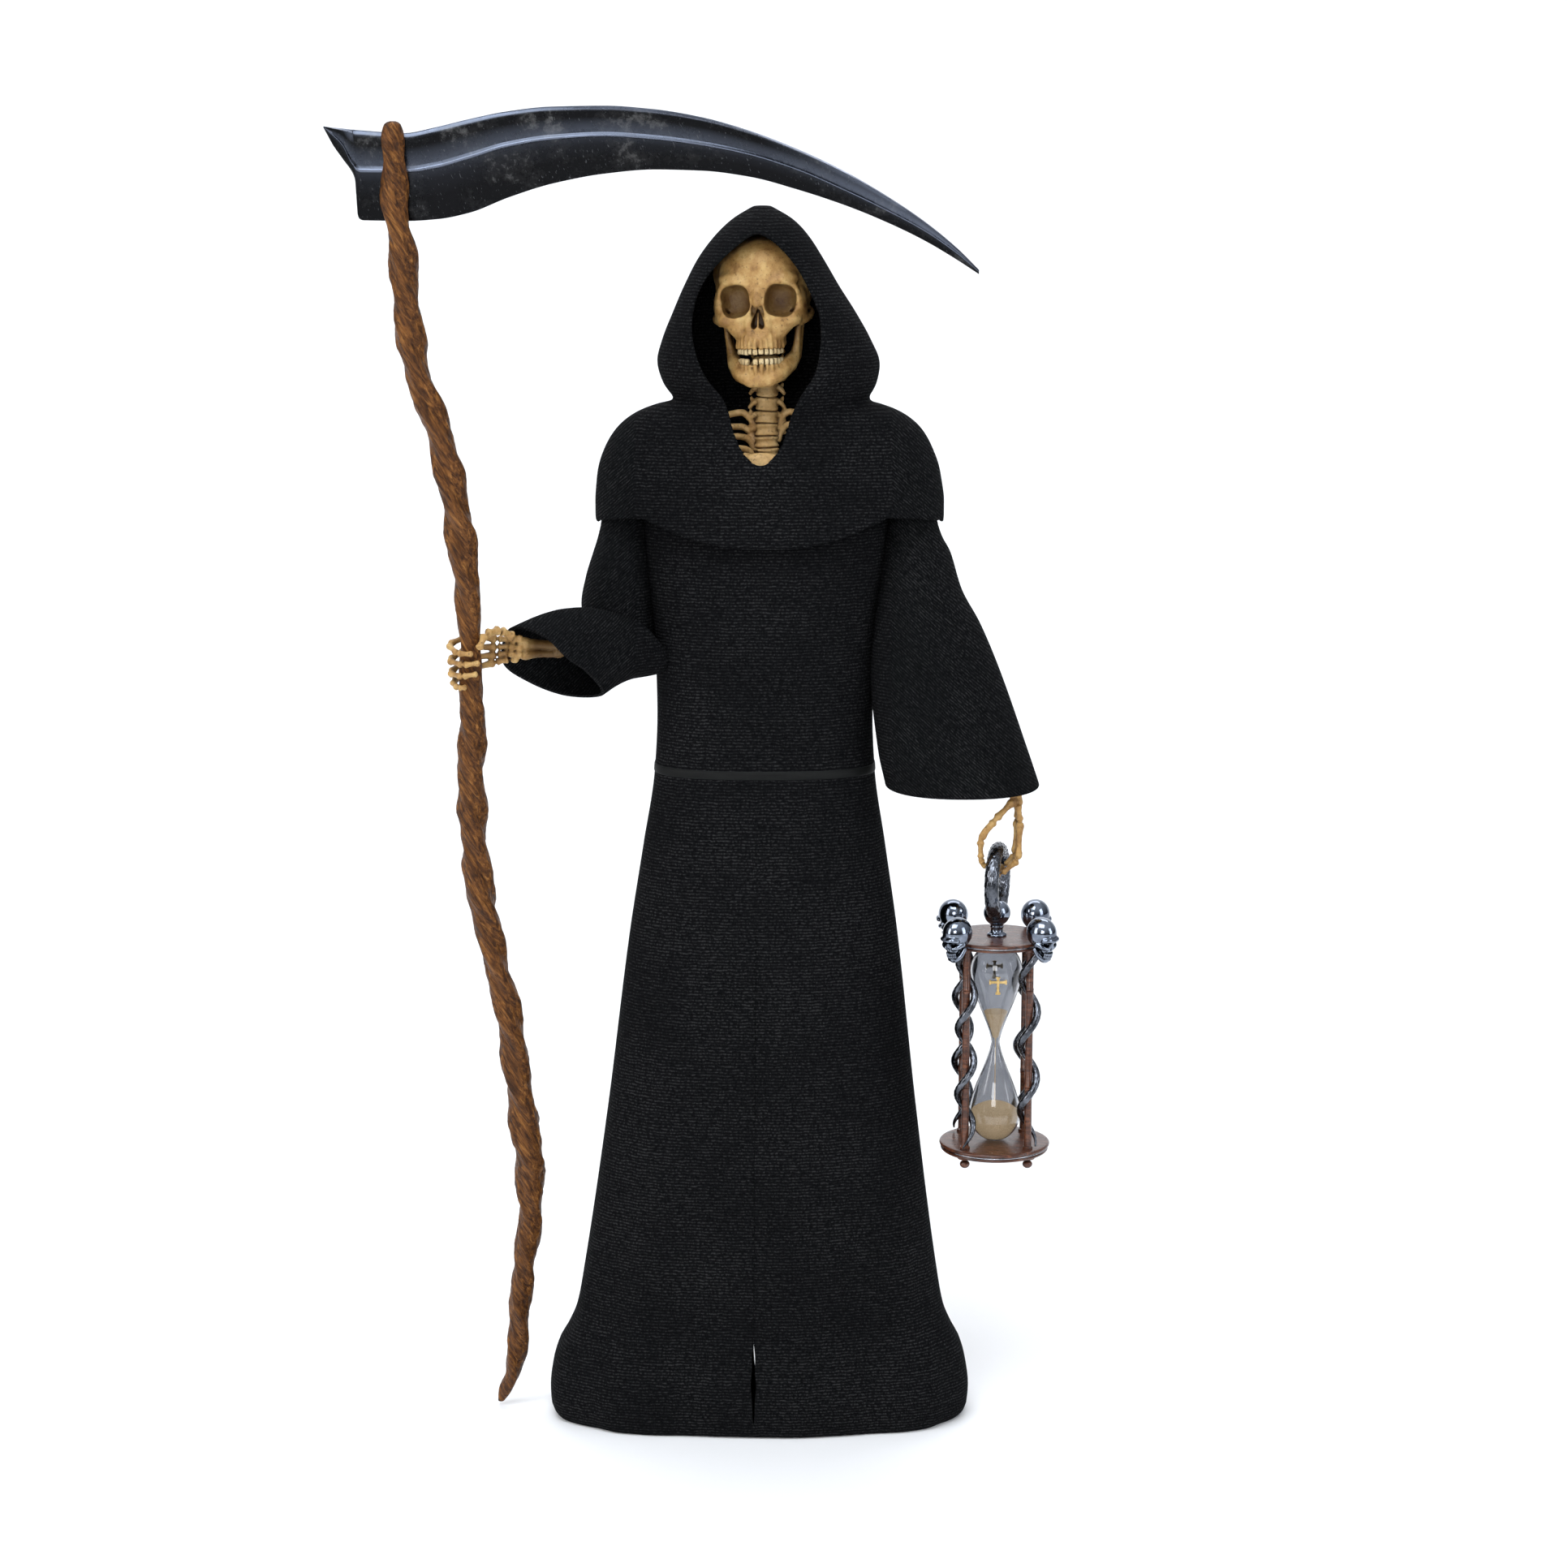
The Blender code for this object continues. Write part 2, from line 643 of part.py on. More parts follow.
def make_cape(cloth):
    """Shoulder cape and hood in one shell, open at the face and below."""
    cape = cape_solid("hooded_cape", 0.0, 0.0)
    cutters.objects.unlink(cape)
    parts.objects.link(cape)
    combine(cape, hood_solid("hood", 0.0), "UNION")
    foot = CAPE_HEM - 12.0
    combine(cape, cape_solid("cape_hollow", CAPE_WALL, 0.0, foot), "DIFFERENCE")
    combine(cape, hood_solid("hood_hollow", HOOD_WALL), "DIFFERENCE")
    combine(cape, opening_solid("face_opening", 0.0), "DIFFERENCE")
    cape.data.materials.append(cloth)


# Bones

def ball(bm, middle, radii, sides=20):
    """An egg-shaped lump."""
    if not isinstance(radii, tuple):
        radii = (radii, radii, radii)
    place = Matrix.Translation(middle) @ Matrix.Diagonal((*radii, 1.0))
    bmesh.ops.create_uvsphere(
        bm, u_segments=sides, v_segments=sides // 2, radius=1.0, matrix=place)


def bone(bm, start, end, radius, knob=1.35):
    """A long bone: a shaft with a knob at each end."""
    start, end = Vector(start), Vector(end)
    line = end - start
    turn = line.to_track_quat("Z", "Y").to_matrix().to_4x4()
    bmesh.ops.create_cone(
        bm, cap_ends=True, segments=12, radius1=radius, radius2=radius, depth=line.length,
        matrix=Matrix.Translation((start + end) / 2) @ turn)
    for point in (start, end):
        ball(bm, point, radius * knob, 12)


def chain(bm, points, radius, knob=1.35):
    """Bones end to end, growing thinner."""
    for i, (start, end) in enumerate(zip(points, points[1:])):
        bone(bm, start, end, radius * (1.0 - 0.07 * i), knob)


def fuse(name, bm, voxel, faces, collection):
    """Melt overlapping lumps into one skin with about the wanted number of faces."""
    made = add(name, bm, collection)
    melt = made.modifiers.new("melt", "REMESH")
    melt.mode = "VOXEL"
    melt.voxel_size = voxel
    bake(made)
    thin_out(made, faces)
    return made


def thin_out(made, faces):
    """Bring a mesh down to about the wanted number of triangles."""
    count = sum(len(face.vertices) - 2 for face in made.data.polygons)
    thin = made.modifiers.new("thin", "DECIMATE")
    thin.ratio = min(1.0, faces / count)
    thin.use_collapse_triangulate = True
    bake(made)


def skull_lumps(bm):
    """Brain case, face and jaw of the figure's skull."""
    ball(bm, (0, 2.5, 425.0), (17.7, 20.5, 18.3), 32)
    ball(bm, (0, -12.5, 427.5), (13.5, 6.2, 4.6))
    ball(bm, (0, -11.0, 414.0), (10.5, 9.0, 10.5))
    ball(bm, (0, -13.2, 406.4), (7.6, 7.8, 5.2))
    ball(bm, (0, -13.0, 403.6), (8.2, 8.2, 2.4))
    for side in (-1, 1):
        ball(bm, (side * 12.6, -12.0, 415.6), (4.2, 4.6, 3.2))
        bone(bm, (side * 14.6, -10.0, 415.6), (side * 16.4, 4.0, 415.8), 1.5, 1.1)
        bone(bm, (side * 12.6, -14.5, 416.5), (side * 13.6, -12.5, 426.0), 1.7, 1.1)
        bone(bm, (side * 4.5, -17.0, 393.8), (side * 12.2, -4.5, 397.0), 2.6, 1.05)
        bone(bm, (side * 12.3, -4.0, 397.4), (side * 13.6, 2.0, 412.0), 2.0, 1.1)
    ball(bm, (0, -17.0, 393.4), (6.6, 4.0, 3.4))
    ball(bm, (0, -13.2, 398.2), (7.8, 7.8, 2.5))


def make_skull(bone_material):
    """The skull with its jaw, teeth just parted."""
    bm = bmesh.new()
    skull_lumps(bm)
    skull = add("skull", bm, parts)
    melt = skull.modifiers.new("melt", "REMESH")
    melt.mode = "VOXEL"
    melt.voxel_size = SKULL_VOXEL
    bake(skull)
    hollows = bmesh.new()
    for side in (-1, 1):
        ball(hollows, (side * 8.0, -18.5, 420.7), (5.5, 9.0, 5.4), 16)
        ball(hollows, (side * 21.5, -10.0, 421.5), (6.0, 9.0, 6.5), 16)
    combine(skull, add("eye_sockets", hollows, cutters), "DIFFERENCE")
    nose = bmesh.new()
    bmesh.ops.create_cone(
        nose, cap_ends=True, segments=12, radius1=2.9, radius2=0.7, depth=7.4,
        matrix=Matrix.Translation((0, -19.5, 414.7)) @ Matrix.Diagonal((1.0, 2.4, 1.0, 1.0)))
    combine(skull, add("nose_hole", nose, cutters), "DIFFERENCE")
    throat = bmesh.new()
    ball(throat, (0, -5.0, 396.5), (7.6, 11.5, 9.0), 16)
    combine(skull, add("throat", throat, cutters), "DIFFERENCE")
    mouth = bmesh.new()
    bmesh.ops.create_cube(
        mouth, size=1.0,
        matrix=Matrix.Translation((0, -16.0, 401.0)) @ Matrix.Diagonal((19.0, 14.0, 0.7, 1.0)))
    combine(skull, add("bite", mouth, cutters), "DIFFERENCE")
    thin_out(skull, SKULL_FACES)
    place = Matrix.Translation((*SKULL_PLACE, 0.0))
    skull.data.transform(place @ Matrix.Rotation(SKULL_TURN, 4, "Z"))
    skull.data.materials.append(bone_material)


def make_neck(bone_material):
    """Neck bones, the first ribs and the top of the breastbone, in one piece."""
    bm = bmesh.new()
    floor = POCKET_FLOOR + GAP
    low, high = floor + 2.0, NECK_TOP
    for i in range(NECK_BONES):
        share = i / (NECK_BONES - 1)
        z = low + (high - low) * share
        x = -0.2 + 1.2 * share
        ball(bm, (x, 3.0, z), (4.3 - 0.5 * share, 4.6, 2.3))
        ball(bm, (x, 3.0, z), (7.6 - 1.2 * share, 2.2, 1.3))
    bone(bm, (-0.2, 4.0, floor + 1.5), (1.0, 4.0, high), 2.9, 1.0)
    for i in range(3):
        z = 375.0 - 5.6 * i
        reach = 10.5 + 1.8 * i
        for side in (-1, 1):
            arc = []
            for step in range(7):
                angle = math.pi * (0.5 + step / 6)
                arc.append((side * -reach * math.cos(angle) * 0.95, -6.0 + 9.0 * math.sin(angle),
                            z - 1.2 * step))
            chain(bm, arc, 1.15, 1.0)
    bone(bm, (0, -15.6, floor + 1.4), (0, -16.6, 364.5), 3.4, 1.25)
    ball(bm, (0, -16.0, 360.5), (8.0, 2.2, 3.6))
    bone(bm, (0, -15.0, floor + 1.6), (0, 3.0, floor + 1.6), 1.6, 1.0)
    neck = fuse("neck_and_ribs", bm, BONE_VOXEL, NECK_FACES, parts)
    base = bmesh.new()
    bmesh.ops.create_cube(
        base, size=1.0,
        matrix=Matrix.Translation((0, 0, floor - 20.0)) @ Matrix.Diagonal((60, 60, 40, 1)))
    combine(neck, add("neck_base", base, cutters), "DIFFERENCE")
    room = bmesh.new()
    ball(room, (SKULL_PLACE[0], 2.5, 425.0), (17.7 + GAP, 20.5 + GAP, 18.3 + GAP), 32)
    combine(neck, add("skull_room", room, cutters), "DIFFERENCE")
    neck.data.materials.append(bone_material)


RIGHT_FINGERS = (
    ((-92.2, -38.0, 301.8), (-104.3, -39.6, 303.0), (-111.0, -46.2, 300.6),
     (-106.2, -53.6, 299.5), (-100.6, -53.8, 299.8)),
    ((-92.2, -37.6, 299.2), (-104.3, -39.4, 299.5), (-111.2, -46.0, 296.0),
     (-104.6, -53.6, 295.4), (-98.6, -53.2, 296.3)),
    ((-92.2, -37.8, 297.2), (-104.4, -39.2, 295.6), (-111.0, -46.0, 291.4),
     (-104.8, -53.0, 291.7), (-99.7, -52.8, 292.8)),
    ((-92.6, -38.0, 294.8), (-104.4, -39.0, 291.4), (-109.8, -45.4, 288.2),
     (-107.0, -51.6, 287.7), (-103.6, -52.6, 287.9)),
)
RIGHT_THUMB = ((-88.0, -40.0, 303.4), (-91.4, -44.0, 307.2), (-96.6, -50.5, 305.9),
               (-99.0, -53.4, 301.9))
RIGHT_WRIST_BONES = ((-89.6, -37.4, 301.0), (-89.4, -37.2, 297.4), (-86.6, -36.6, 301.2),
                     (-86.4, -36.2, 297.6))


def make_right_hand(bone_material):
    """The raised hand, its fingers closed round the scythe's staff."""
    bm = bmesh.new()
    for finger in RIGHT_FINGERS:
        chain(bm, finger, 1.15)
    chain(bm, RIGHT_THUMB, 1.2)
    for place in RIGHT_WRIST_BONES:
        ball(bm, place, (2.5, 2.2, 2.5), 12)
    start, end = right_peg_line()
    near = start + (start - end).normalized() * 3.5
    bone(bm, (-84.8, -35.8, 301.0), near + Vector((0, 0, 0.9)), 1.35, 1.3)
    bone(bm, (-84.8, -35.4, 296.8), near + Vector((0, 0, -0.9)), 1.15, 1.3)
    bone(bm, near, end, PEG_RADIUS - 0.2, 1.0)
    hand = fuse("right_hand", bm, BONE_VOXEL, RIGHT_HAND_FACES, parts)
    combine(hand, staff_solid("staff_room", GAP), "DIFFERENCE")
    hand.data.materials.append(bone_material)


LEFT_FINGER_Y = (-23.4, -20.0, -16.5, -13.0)
LEFT_FINGER_BEND = 18.0  # height of the fingers' last bones above the ring's ball
LEFT_THUMB = ((90.0, -24.0, 240.0), (85.0, -26.0, 232.4), (79.4, -26.0, 225.8),
              (78.6, -24.5, 219.0), (80.6, -22.5, 214.6))
LEFT_WRIST_BONES = ((91.0, -20.5, 244.6), (92.2, -17.5, 244.4), (92.4, -20.5, 241.2),
                    (92.8, -17.0, 241.0))


def make_left_hand(bone_material):
    """The lowered hand, its fingers hooked through the hourglass's ring."""
    bm = bmesh.new()
    inner = RING_RADIUS - RING_TUBE
    for i, y in enumerate(LEFT_FINGER_Y):
        arch = math.sqrt(inner ** 2 - (y - GLASS_AXIS[1]) ** 2)
        cross = BALL_HEIGHT + RING_RADIUS + arch - 1.8
        bend = BALL_HEIGHT + LEFT_FINGER_BEND
        chain(bm, ((92.0, y * 0.55 - 8.6, 241.0), (93.2, y, 236.0 - i * 0.5),
                   (92.6, y, bend + 3.4 - i * 0.6), (86.0, y, min(cross, bend)),
                   (82.2, y, min(cross, bend - 1.2))), 1.2)
    chain(bm, LEFT_THUMB, 1.2)
    for place in LEFT_WRIST_BONES:
        ball(bm, place, (2.4, 2.5, 2.3), 12)
    start, end = left_peg_line()
    near = start + (start - end).normalized() * 3.5
    bone(bm, (90.6, -20.0, 248.4), near + Vector((0.8, 0, 0)), 1.4, 1.45)
    bone(bm, (92.8, -17.0, 248.0), near + Vector((-0.8, 0, 0)), 1.2, 1.4)
    bone(bm, near, end, PEG_RADIUS - 0.2, 1.0)
    hand = fuse("left_hand", bm, BONE_VOXEL, LEFT_HAND_FACES, parts)
    combine(hand, ring_solid("ring_room", GAP), "DIFFERENCE")
    hand.data.materials.append(bone_material)


# Scythe

def lean_y(z):
    """Y of the scythe's leaning middle plane at a height."""
    return LEAN_Y - (z - LEAN_Z) * LEAN


def staff_solid(name, outward=0.0):
    """The gnarled staff: shallow flutes that wind round it as they rise."""
    rings = []
    for x, z, radius in STAFF_POINTS:
        ring = []
        for angle in turns(STAFF_SIDES):
            wave = 1.0 + STAFF_FLUTE * math.cos(2.0 * (angle - STAFF_TWIST * z))
            reach = radius * wave + outward
            ring.append((x + reach * math.cos(angle), lean_y(z) + reach * math.sin(angle), z))
        rings.append(ring)
    return add(name, skin(rings), cutters)


def blade_ring(section, outward=0.0):
    """One upright slice of the blade: thick back, hollow, rib, and thin edge."""
    x, back, rib, edge = section
    tall = back - edge
    slim = min(1.0, tall / 14.0)
    half = BLADE_THICK / 2 * (0.35 + 0.65 * slim)
    front = (
        (back, 0.75 * half), (back - 0.07 * tall, half), (rib + 0.25 * (back - rib), 0.55 * half),
        (rib, 0.85 * half), (rib - 0.08 * tall, 0.6 * half), (edge, BLADE_EDGE / 2))
    outline = [(z, -half_y) for z, half_y in front]
    outline += [(z, half_y) for z, half_y in reversed(front)]
    ring = []
    for z, y in outline:
        away = math.copysign(outward, y)
        rise = outward if z >= back else (-outward if z <= edge else 0.0)
        ring.append((x, lean_y(z) + BLADE_BEHIND + y + away, z + rise))
    return ring


def blade_solid(name, outward=0.0):
    """The curved blade, from its flared butt to its tip."""
    rings = [blade_ring(section, outward) for section in BLADE_SECTIONS]
    return add(name, skin(rings), cutters)


def make_scythe(wood, steel):
    """Staff and blade; the blade lies in a seat cut in the back of the staff."""
    staff = staff_solid("scythe_staff")
    combine(staff, blade_solid("blade_room", GAP), "DIFFERENCE")
    blade = blade_solid("scythe_blade")
    for piece, surface in ((staff, wood), (blade, steel)):
        cutters.objects.unlink(piece)
        parts.objects.link(piece)
        piece.data.materials.append(surface)


# Hourglass

def turned(name, profile, middle, sides, collection):
    """A solid turned from rows of height and radius, low to high, about an upright axis."""
    mesh = bpy.data.meshes.new(name)
    points = [(0.0, profile[-1][0])]
    points += [(radius, z) for z, radius in reversed(profile)]
    points += [(0.0, profile[0][0])]
    mesh.from_pydata([(radius, 0.0, z) for radius, z in points],
                     [(i, i + 1) for i in range(len(points) - 1)], [])
    made = bpy.data.objects.new(name, mesh)
    collection.objects.link(made)
    spin = made.modifiers.new("turn", "SCREW")
    spin.steps = sides
    spin.render_steps = sides
    spin.use_merge_vertices = True
    spin.merge_threshold = 0.0001
    spin.use_smooth_shade = True
    bake(made)
    made.data.transform(Matrix.Translation((middle[0], middle[1], 0.0)))
    return made


def post_places():
    """Middles of the four posts, with the outward direction of each."""
    places = []
    for k, angle in enumerate((-135, -45, 45, 135)):
        way = math.radians(angle)
        places.append((k + 1, way, (GLASS_AXIS[0] + POST_RING * math.cos(way),
                                    GLASS_AXIS[1] + POST_RING * math.sin(way))))
    return places


def plate_profile(top, thick, radius):
    """Two half-round beads with a narrow groove between them."""
    low = top - thick
    return (
        (low, radius - 1.5), (low + 0.12 * thick, radius - 0.7), (low + 0.36 * thick, radius - 0.7),
        (low + 0.44 * thick, radius - 1.3), (low + 0.52 * thick, radius - 0.1),
        (low + 0.76 * thick, radius), (top, radius - 0.4))


def make_hourglass(wood, glass, metal, gold):
    """Plates, posts, glass, serpents, crosses and the ring that it hangs by."""
    base = turned("hourglass_base", plate_profile(BASE_TOP, BASE_THICK, BASE_RADIUS),
                  GLASS_AXIS, PLATE_SIDES, parts)
    under = BASE_TOP - BASE_THICK
    foot = ((under - FOOT_TALL, 1.1), (under - 0.64 * FOOT_TALL, FOOT_RADIUS),
            (under - 0.36 * FOOT_TALL, 1.4), (under + 0.4, 2.9))
    for _, _, place in post_places():
        combine(base, turned("foot", foot, place, ROUND_SIDES, cutters), "UNION")
    base.data.materials.append(wood)
    top = turned("hourglass_top", plate_profile(TOP_TOP, TOP_THICK, TOP_RADIUS),
                 GLASS_AXIS, PLATE_SIDES, parts)
    top.data.materials.append(wood)
    low, high = BASE_TOP + GAP, TOP_TOP - TOP_THICK - GAP
    for k, way, place in post_places():
        profile = ((low, POST_RADIUS), (high, POST_RADIUS))
        post = turned(f"hourglass_post_{k}", profile, place, ROUND_SIDES, parts)
        post.data.materials.append(wood)
        make_serpent(k, way, place, low, high, metal)
    make_glass(low, high, glass)
    make_handle(metal)
    for side, name in ((-1, "cross_front"), (1, "cross_back")):
        make_cross(name, side, high, low, gold)


def bulb_radius(share):
    """Radius of a bulb, by its height above the neck as a share of the bulb's length."""
    if share >= 1.0 - GLASS_SHOULDER:
        over = (share - 1.0 + GLASS_SHOULDER) / GLASS_SHOULDER
        return GLASS_RADIUS * math.sqrt(max(0.0, 1.0 - 0.93 * over * over))
    rise = share / (1.0 - GLASS_SHOULDER)
    soft = 0.5 - 0.5 * math.cos(math.pi * rise ** 0.86)
    return GLASS_NECK + (GLASS_RADIUS - GLASS_NECK) * (0.62 * soft + 0.38 * rise)


def make_glass(low, high, glass):
    """The sealed double bulb."""
    neck = (low + high) / 2
    half = (high - low) / 2
    shares = (0.0, 0.16, 0.4, 0.62, 0.78, 0.91, 1.0)
    upper = [(neck + half * share, bulb_radius(share)) for share in shares]
    lower = [(neck - half * share, bulb_radius(share)) for share in reversed(shares[1:])]
    made = turned("hourglass_glass", lower + upper, GLASS_AXIS, 16, parts)
    made.data.materials.append(glass)


def small_skull(name):
    """A skull head in its own frame: it faces +X, and its middle is at the origin."""
    size = HEAD_RADIUS
    bm = bmesh.new()
    ball(bm, (0, 0, 0), (size, size * 0.9, size), 20)
    ball(bm, (0.62 * size, 0, -0.72 * size), (0.42 * size, 0.55 * size, 0.6 * size), 14)
    ball(bm, (0.60 * size, 0, -1.30 * size), (0.44 * size, 0.46 * size, 0.5 * size), 14)
    for side in (-1, 1):
        ball(bm, (0.62 * size, side * 0.52 * size, -0.45 * size),
             (0.34 * size, 0.3 * size, 0.2 * size), 12)
    head = add(name, bm, cutters)
    melt = head.modifiers.new("melt", "REMESH")
    melt.mode = "VOXEL"
    melt.voxel_size = 0.3
    bake(head)
    holes = bmesh.new()
    for side in (-1, 1):
        ball(holes, (0.98 * size, side * 0.33 * size, -0.26 * size),
             (0.34 * size, 0.22 * size, 0.2 * size), 10)
    combine(head, add("head_sockets", holes, cutters), "DIFFERENCE")
    thin_out(head, HEAD_FACES)
    return head


def serpent_points(way, place, low, high):
    """The serpent's middle line, from its tail on the base up to its head."""
    coil = (POST_RADIUS + GAP + SERPENT_RADIUS) / math.cos(math.pi / STEPS_PER_TURN)
    bottom = low + SERPENT_RADIUS
    turn_per_mm = 2.0 * math.pi / SERPENT_PITCH
    steps = int((high - bottom) / SERPENT_PITCH * STEPS_PER_TURN)
    points = []
    clear = TOP_RADIUS + GAP + SERPENT_RADIUS + 0.3
    for i in range(steps + 1):
        z = bottom + (high - 3.0 - bottom) * i / steps
        angle = way + SERPENT_LEAD + (z - high) * turn_per_mm
        points.append(Vector((place[0] + coil * math.cos(angle),
                              place[1] + coil * math.sin(angle), z)))
    outward = Vector((math.cos(way), math.sin(way), 0.0))
    middle = Vector((*GLASS_AXIS, 0.0))
    points.append(middle + outward * (clear - 0.2) + Vector((0, 0, high - 0.4)))
    points.append(middle + outward * (clear + 0.3) + Vector((0, 0, high + 2.4)))
    points.append(middle + outward * (HEAD_RING - 0.2) + Vector((0, 0, HEAD_HEIGHT)))
    return points


def tube(name, points, radius, resolution, collection):
    """A round tube along points, made a closed mesh."""
    curve = bpy.data.curves.new(name, "CURVE")
    curve.dimensions = "3D"
    curve.bevel_depth = radius
    curve.bevel_resolution = resolution
    curve.use_fill_caps = True
    line = curve.splines.new("POLY")
    line.points.add(len(points) - 1)
    for point, spot in zip(line.points, points):
        point.co = (*spot, 1.0)
    drawn = bpy.data.objects.new(name + "_line", curve)
    collection.objects.link(drawn)
    bpy.context.view_layer.update()
    graph = bpy.context.evaluated_depsgraph_get()
    mesh = bpy.data.meshes.new_from_object(drawn.evaluated_get(graph))
    bm = bmesh.new()
    bm.from_mesh(mesh)
    bmesh.ops.remove_doubles(bm, verts=bm.verts, dist=0.001)
    bmesh.ops.recalc_face_normals(bm, faces=bm.faces)
    bm.to_mesh(mesh)
    bm.free()
    made = bpy.data.objects.new(name, mesh)
    collection.objects.link(made)
    made.matrix_world = drawn.matrix_world
    bpy.data.objects.remove(drawn, do_unlink=True)
    return made


def make_serpent(k, way, place, low, high, metal):
    """A serpent coiled round one post, with a skull for its head."""
    points = serpent_points(way, place, low, high)
    serpent = tube(f"serpent_{k}", points, SERPENT_RADIUS, 1, parts)
    head = small_skull("serpent_head")
    tilt = Matrix.Rotation(math.radians(18.0), 4, "Y")
    spot = Vector((GLASS_AXIS[0] + HEAD_RING * math.cos(way),
                   GLASS_AXIS[1] + HEAD_RING * math.sin(way), HEAD_HEIGHT))
    head.data.transform(Matrix.Translation(spot) @ Matrix.Rotation(way, 4, "Z") @ tilt)
    combine(serpent, head, "UNION")
    serpent.data.materials.append(metal)


def make_handle(metal):
    """A scaled ring that rises from a ball and collar on the top plate."""
    bottom = TOP_TOP + GAP
    profile = [(bottom, COLLAR_RADIUS), (BALL_HEIGHT - 0.8 * BALL_RADIUS, COLLAR_RADIUS)]
    for step in range(2, 7):
        angle = math.pi * (step / 7 - 0.5)
        profile.append((BALL_HEIGHT + BALL_RADIUS * math.sin(angle), BALL_RADIUS * math.cos(angle)))
    handle = turned("ring_handle", profile, GLASS_AXIS, 12, parts)
    combine(handle, ring_solid("ring", 0.0), "UNION")
    handle.data.materials.append(metal)


def ring_solid(name, outward):
    """The round-tubed ring, standing nearly edge on to the front."""
    middle = Vector((*GLASS_AXIS, BALL_HEIGHT + RING_RADIUS))
    side = Vector((math.sin(RING_TURN), math.cos(RING_TURN), 0.0))
    across = side.cross(Vector((0, 0, 1)))
    tube_radius = RING_TUBE + outward
    rows = []
    for angle in turns(18):
        out = side * math.sin(angle) + Vector((0, 0, -math.cos(angle)))
        row = []
        for turn in turns(8):
            reach = out * (RING_RADIUS + tube_radius * math.cos(turn))
            row.append(middle + reach + across * tube_radius * math.sin(turn))
        rows.append(row)
    return add(name, skin(rows, ends="joined"), cutters)


def make_cross(name, side, high, low, gold):
    """A small cross just off the upper bulb, on its front or its back."""
    half = (high - low) / 2
    share = 0.62
    z = low + half + half * share
    y = GLASS_AXIS[1] + side * (bulb_radius(share + 0.07) + GAP + CROSS_THICK / 2 + 0.1)
    bm = bmesh.new()
    bmesh.ops.create_cube(
        bm, size=1.0, matrix=Matrix.Translation((GLASS_AXIS[0], y, z))
        @ Matrix.Diagonal((CROSS_BAR, CROSS_THICK, CROSS_TALL, 1.0)))
    cross = add(name, bm, parts)
    bar = bmesh.new()
    bmesh.ops.create_cube(
        bar, size=1.0, matrix=Matrix.Translation((GLASS_AXIS[0], y, z + CROSS_TALL * 0.2))
        @ Matrix.Diagonal((CROSS_WIDE, CROSS_THICK * 0.96, CROSS_BAR, 1.0)))
    combine(cross, add("bar", bar, cutters), "UNION")
    cross.data.materials.append(gold)


def main():
    """Build every piece of the figurine."""
    start_empty()
    cloth = material("black_cloth_resin", (0.012, 0.013, 0.016), 0.85)
    satin = material("satin_band", (0.01, 0.01, 0.012), 0.35)
    bones = material("aged_bone_resin", (0.52, 0.34, 0.15), 0.55)
    dark_wood = material("gnarled_wood_resin", (0.17, 0.07, 0.025), 0.4)
    steel = material("blackened_steel", (0.06, 0.06, 0.065), 0.35, 1.0)
    red_wood = material("polished_red_wood", (0.2, 0.055, 0.025), 0.3)
    metal = material("scaled_gunmetal", (0.12, 0.125, 0.135), 0.25, 1.0)
    clear = material("clear_glass", (0.85, 0.87, 0.9), 0.05)
    gold = material("gilt_metal", (0.6, 0.42, 0.15), 0.3, 1.0)
    make_robe(cloth)
    make_belt(satin)
    make_cape(cloth)
    make_skull(bones)
    make_neck(bones)
    make_right_hand(bones)
    make_left_hand(bones)
    make_scythe(dark_wood, steel)
    make_hourglass(red_wood, clear, metal, gold)
    for piece in parts.objects:
        piece.data.transform(Matrix.Scale(MM, 4))
        piece.data.shade_smooth()
        piece.data.set_sharp_from_angle(angle=math.radians(40.0))


main()
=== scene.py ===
"""Looks of the grim reaper figurine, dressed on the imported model.

Lengths are in millimetres and become metres through MM when a mesh is made. The figure
faces -Y, +X is to the viewer's right and +Z is up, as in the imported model.
"""

import math

import bmesh
import bpy
import numpy as np
from mathutils import Matrix, Vector, noise


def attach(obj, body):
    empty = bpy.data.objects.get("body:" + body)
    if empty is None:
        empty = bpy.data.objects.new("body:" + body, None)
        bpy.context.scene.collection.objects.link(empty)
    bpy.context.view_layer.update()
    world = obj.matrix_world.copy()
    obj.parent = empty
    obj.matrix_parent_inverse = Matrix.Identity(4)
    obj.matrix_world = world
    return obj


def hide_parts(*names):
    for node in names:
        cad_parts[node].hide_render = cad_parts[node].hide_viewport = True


MM = 0.001
METRE = 1000.0
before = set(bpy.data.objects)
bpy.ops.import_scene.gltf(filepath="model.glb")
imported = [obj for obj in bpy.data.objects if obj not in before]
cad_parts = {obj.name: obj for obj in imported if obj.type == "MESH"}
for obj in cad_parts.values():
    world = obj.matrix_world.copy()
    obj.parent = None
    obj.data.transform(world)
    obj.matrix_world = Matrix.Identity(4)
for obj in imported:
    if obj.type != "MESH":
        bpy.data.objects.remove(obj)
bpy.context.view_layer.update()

# Most triangles of the fused pieces
CAPE_FACES = 190000
SKULL_FACES = 180000
NECK_FACES = 110000
HAND_FACES = 120000
HEAD_FACES = 22000

# Camera of the photograph
CAMERA_LENS = 75.0
CAMERA_SENSOR = 36.0
CAMERA_PITCH = math.radians(10.5)
CAMERA_DISTANCE = 1207.5
CAMERA_TARGET = (7.5, 0.0, 243.2)

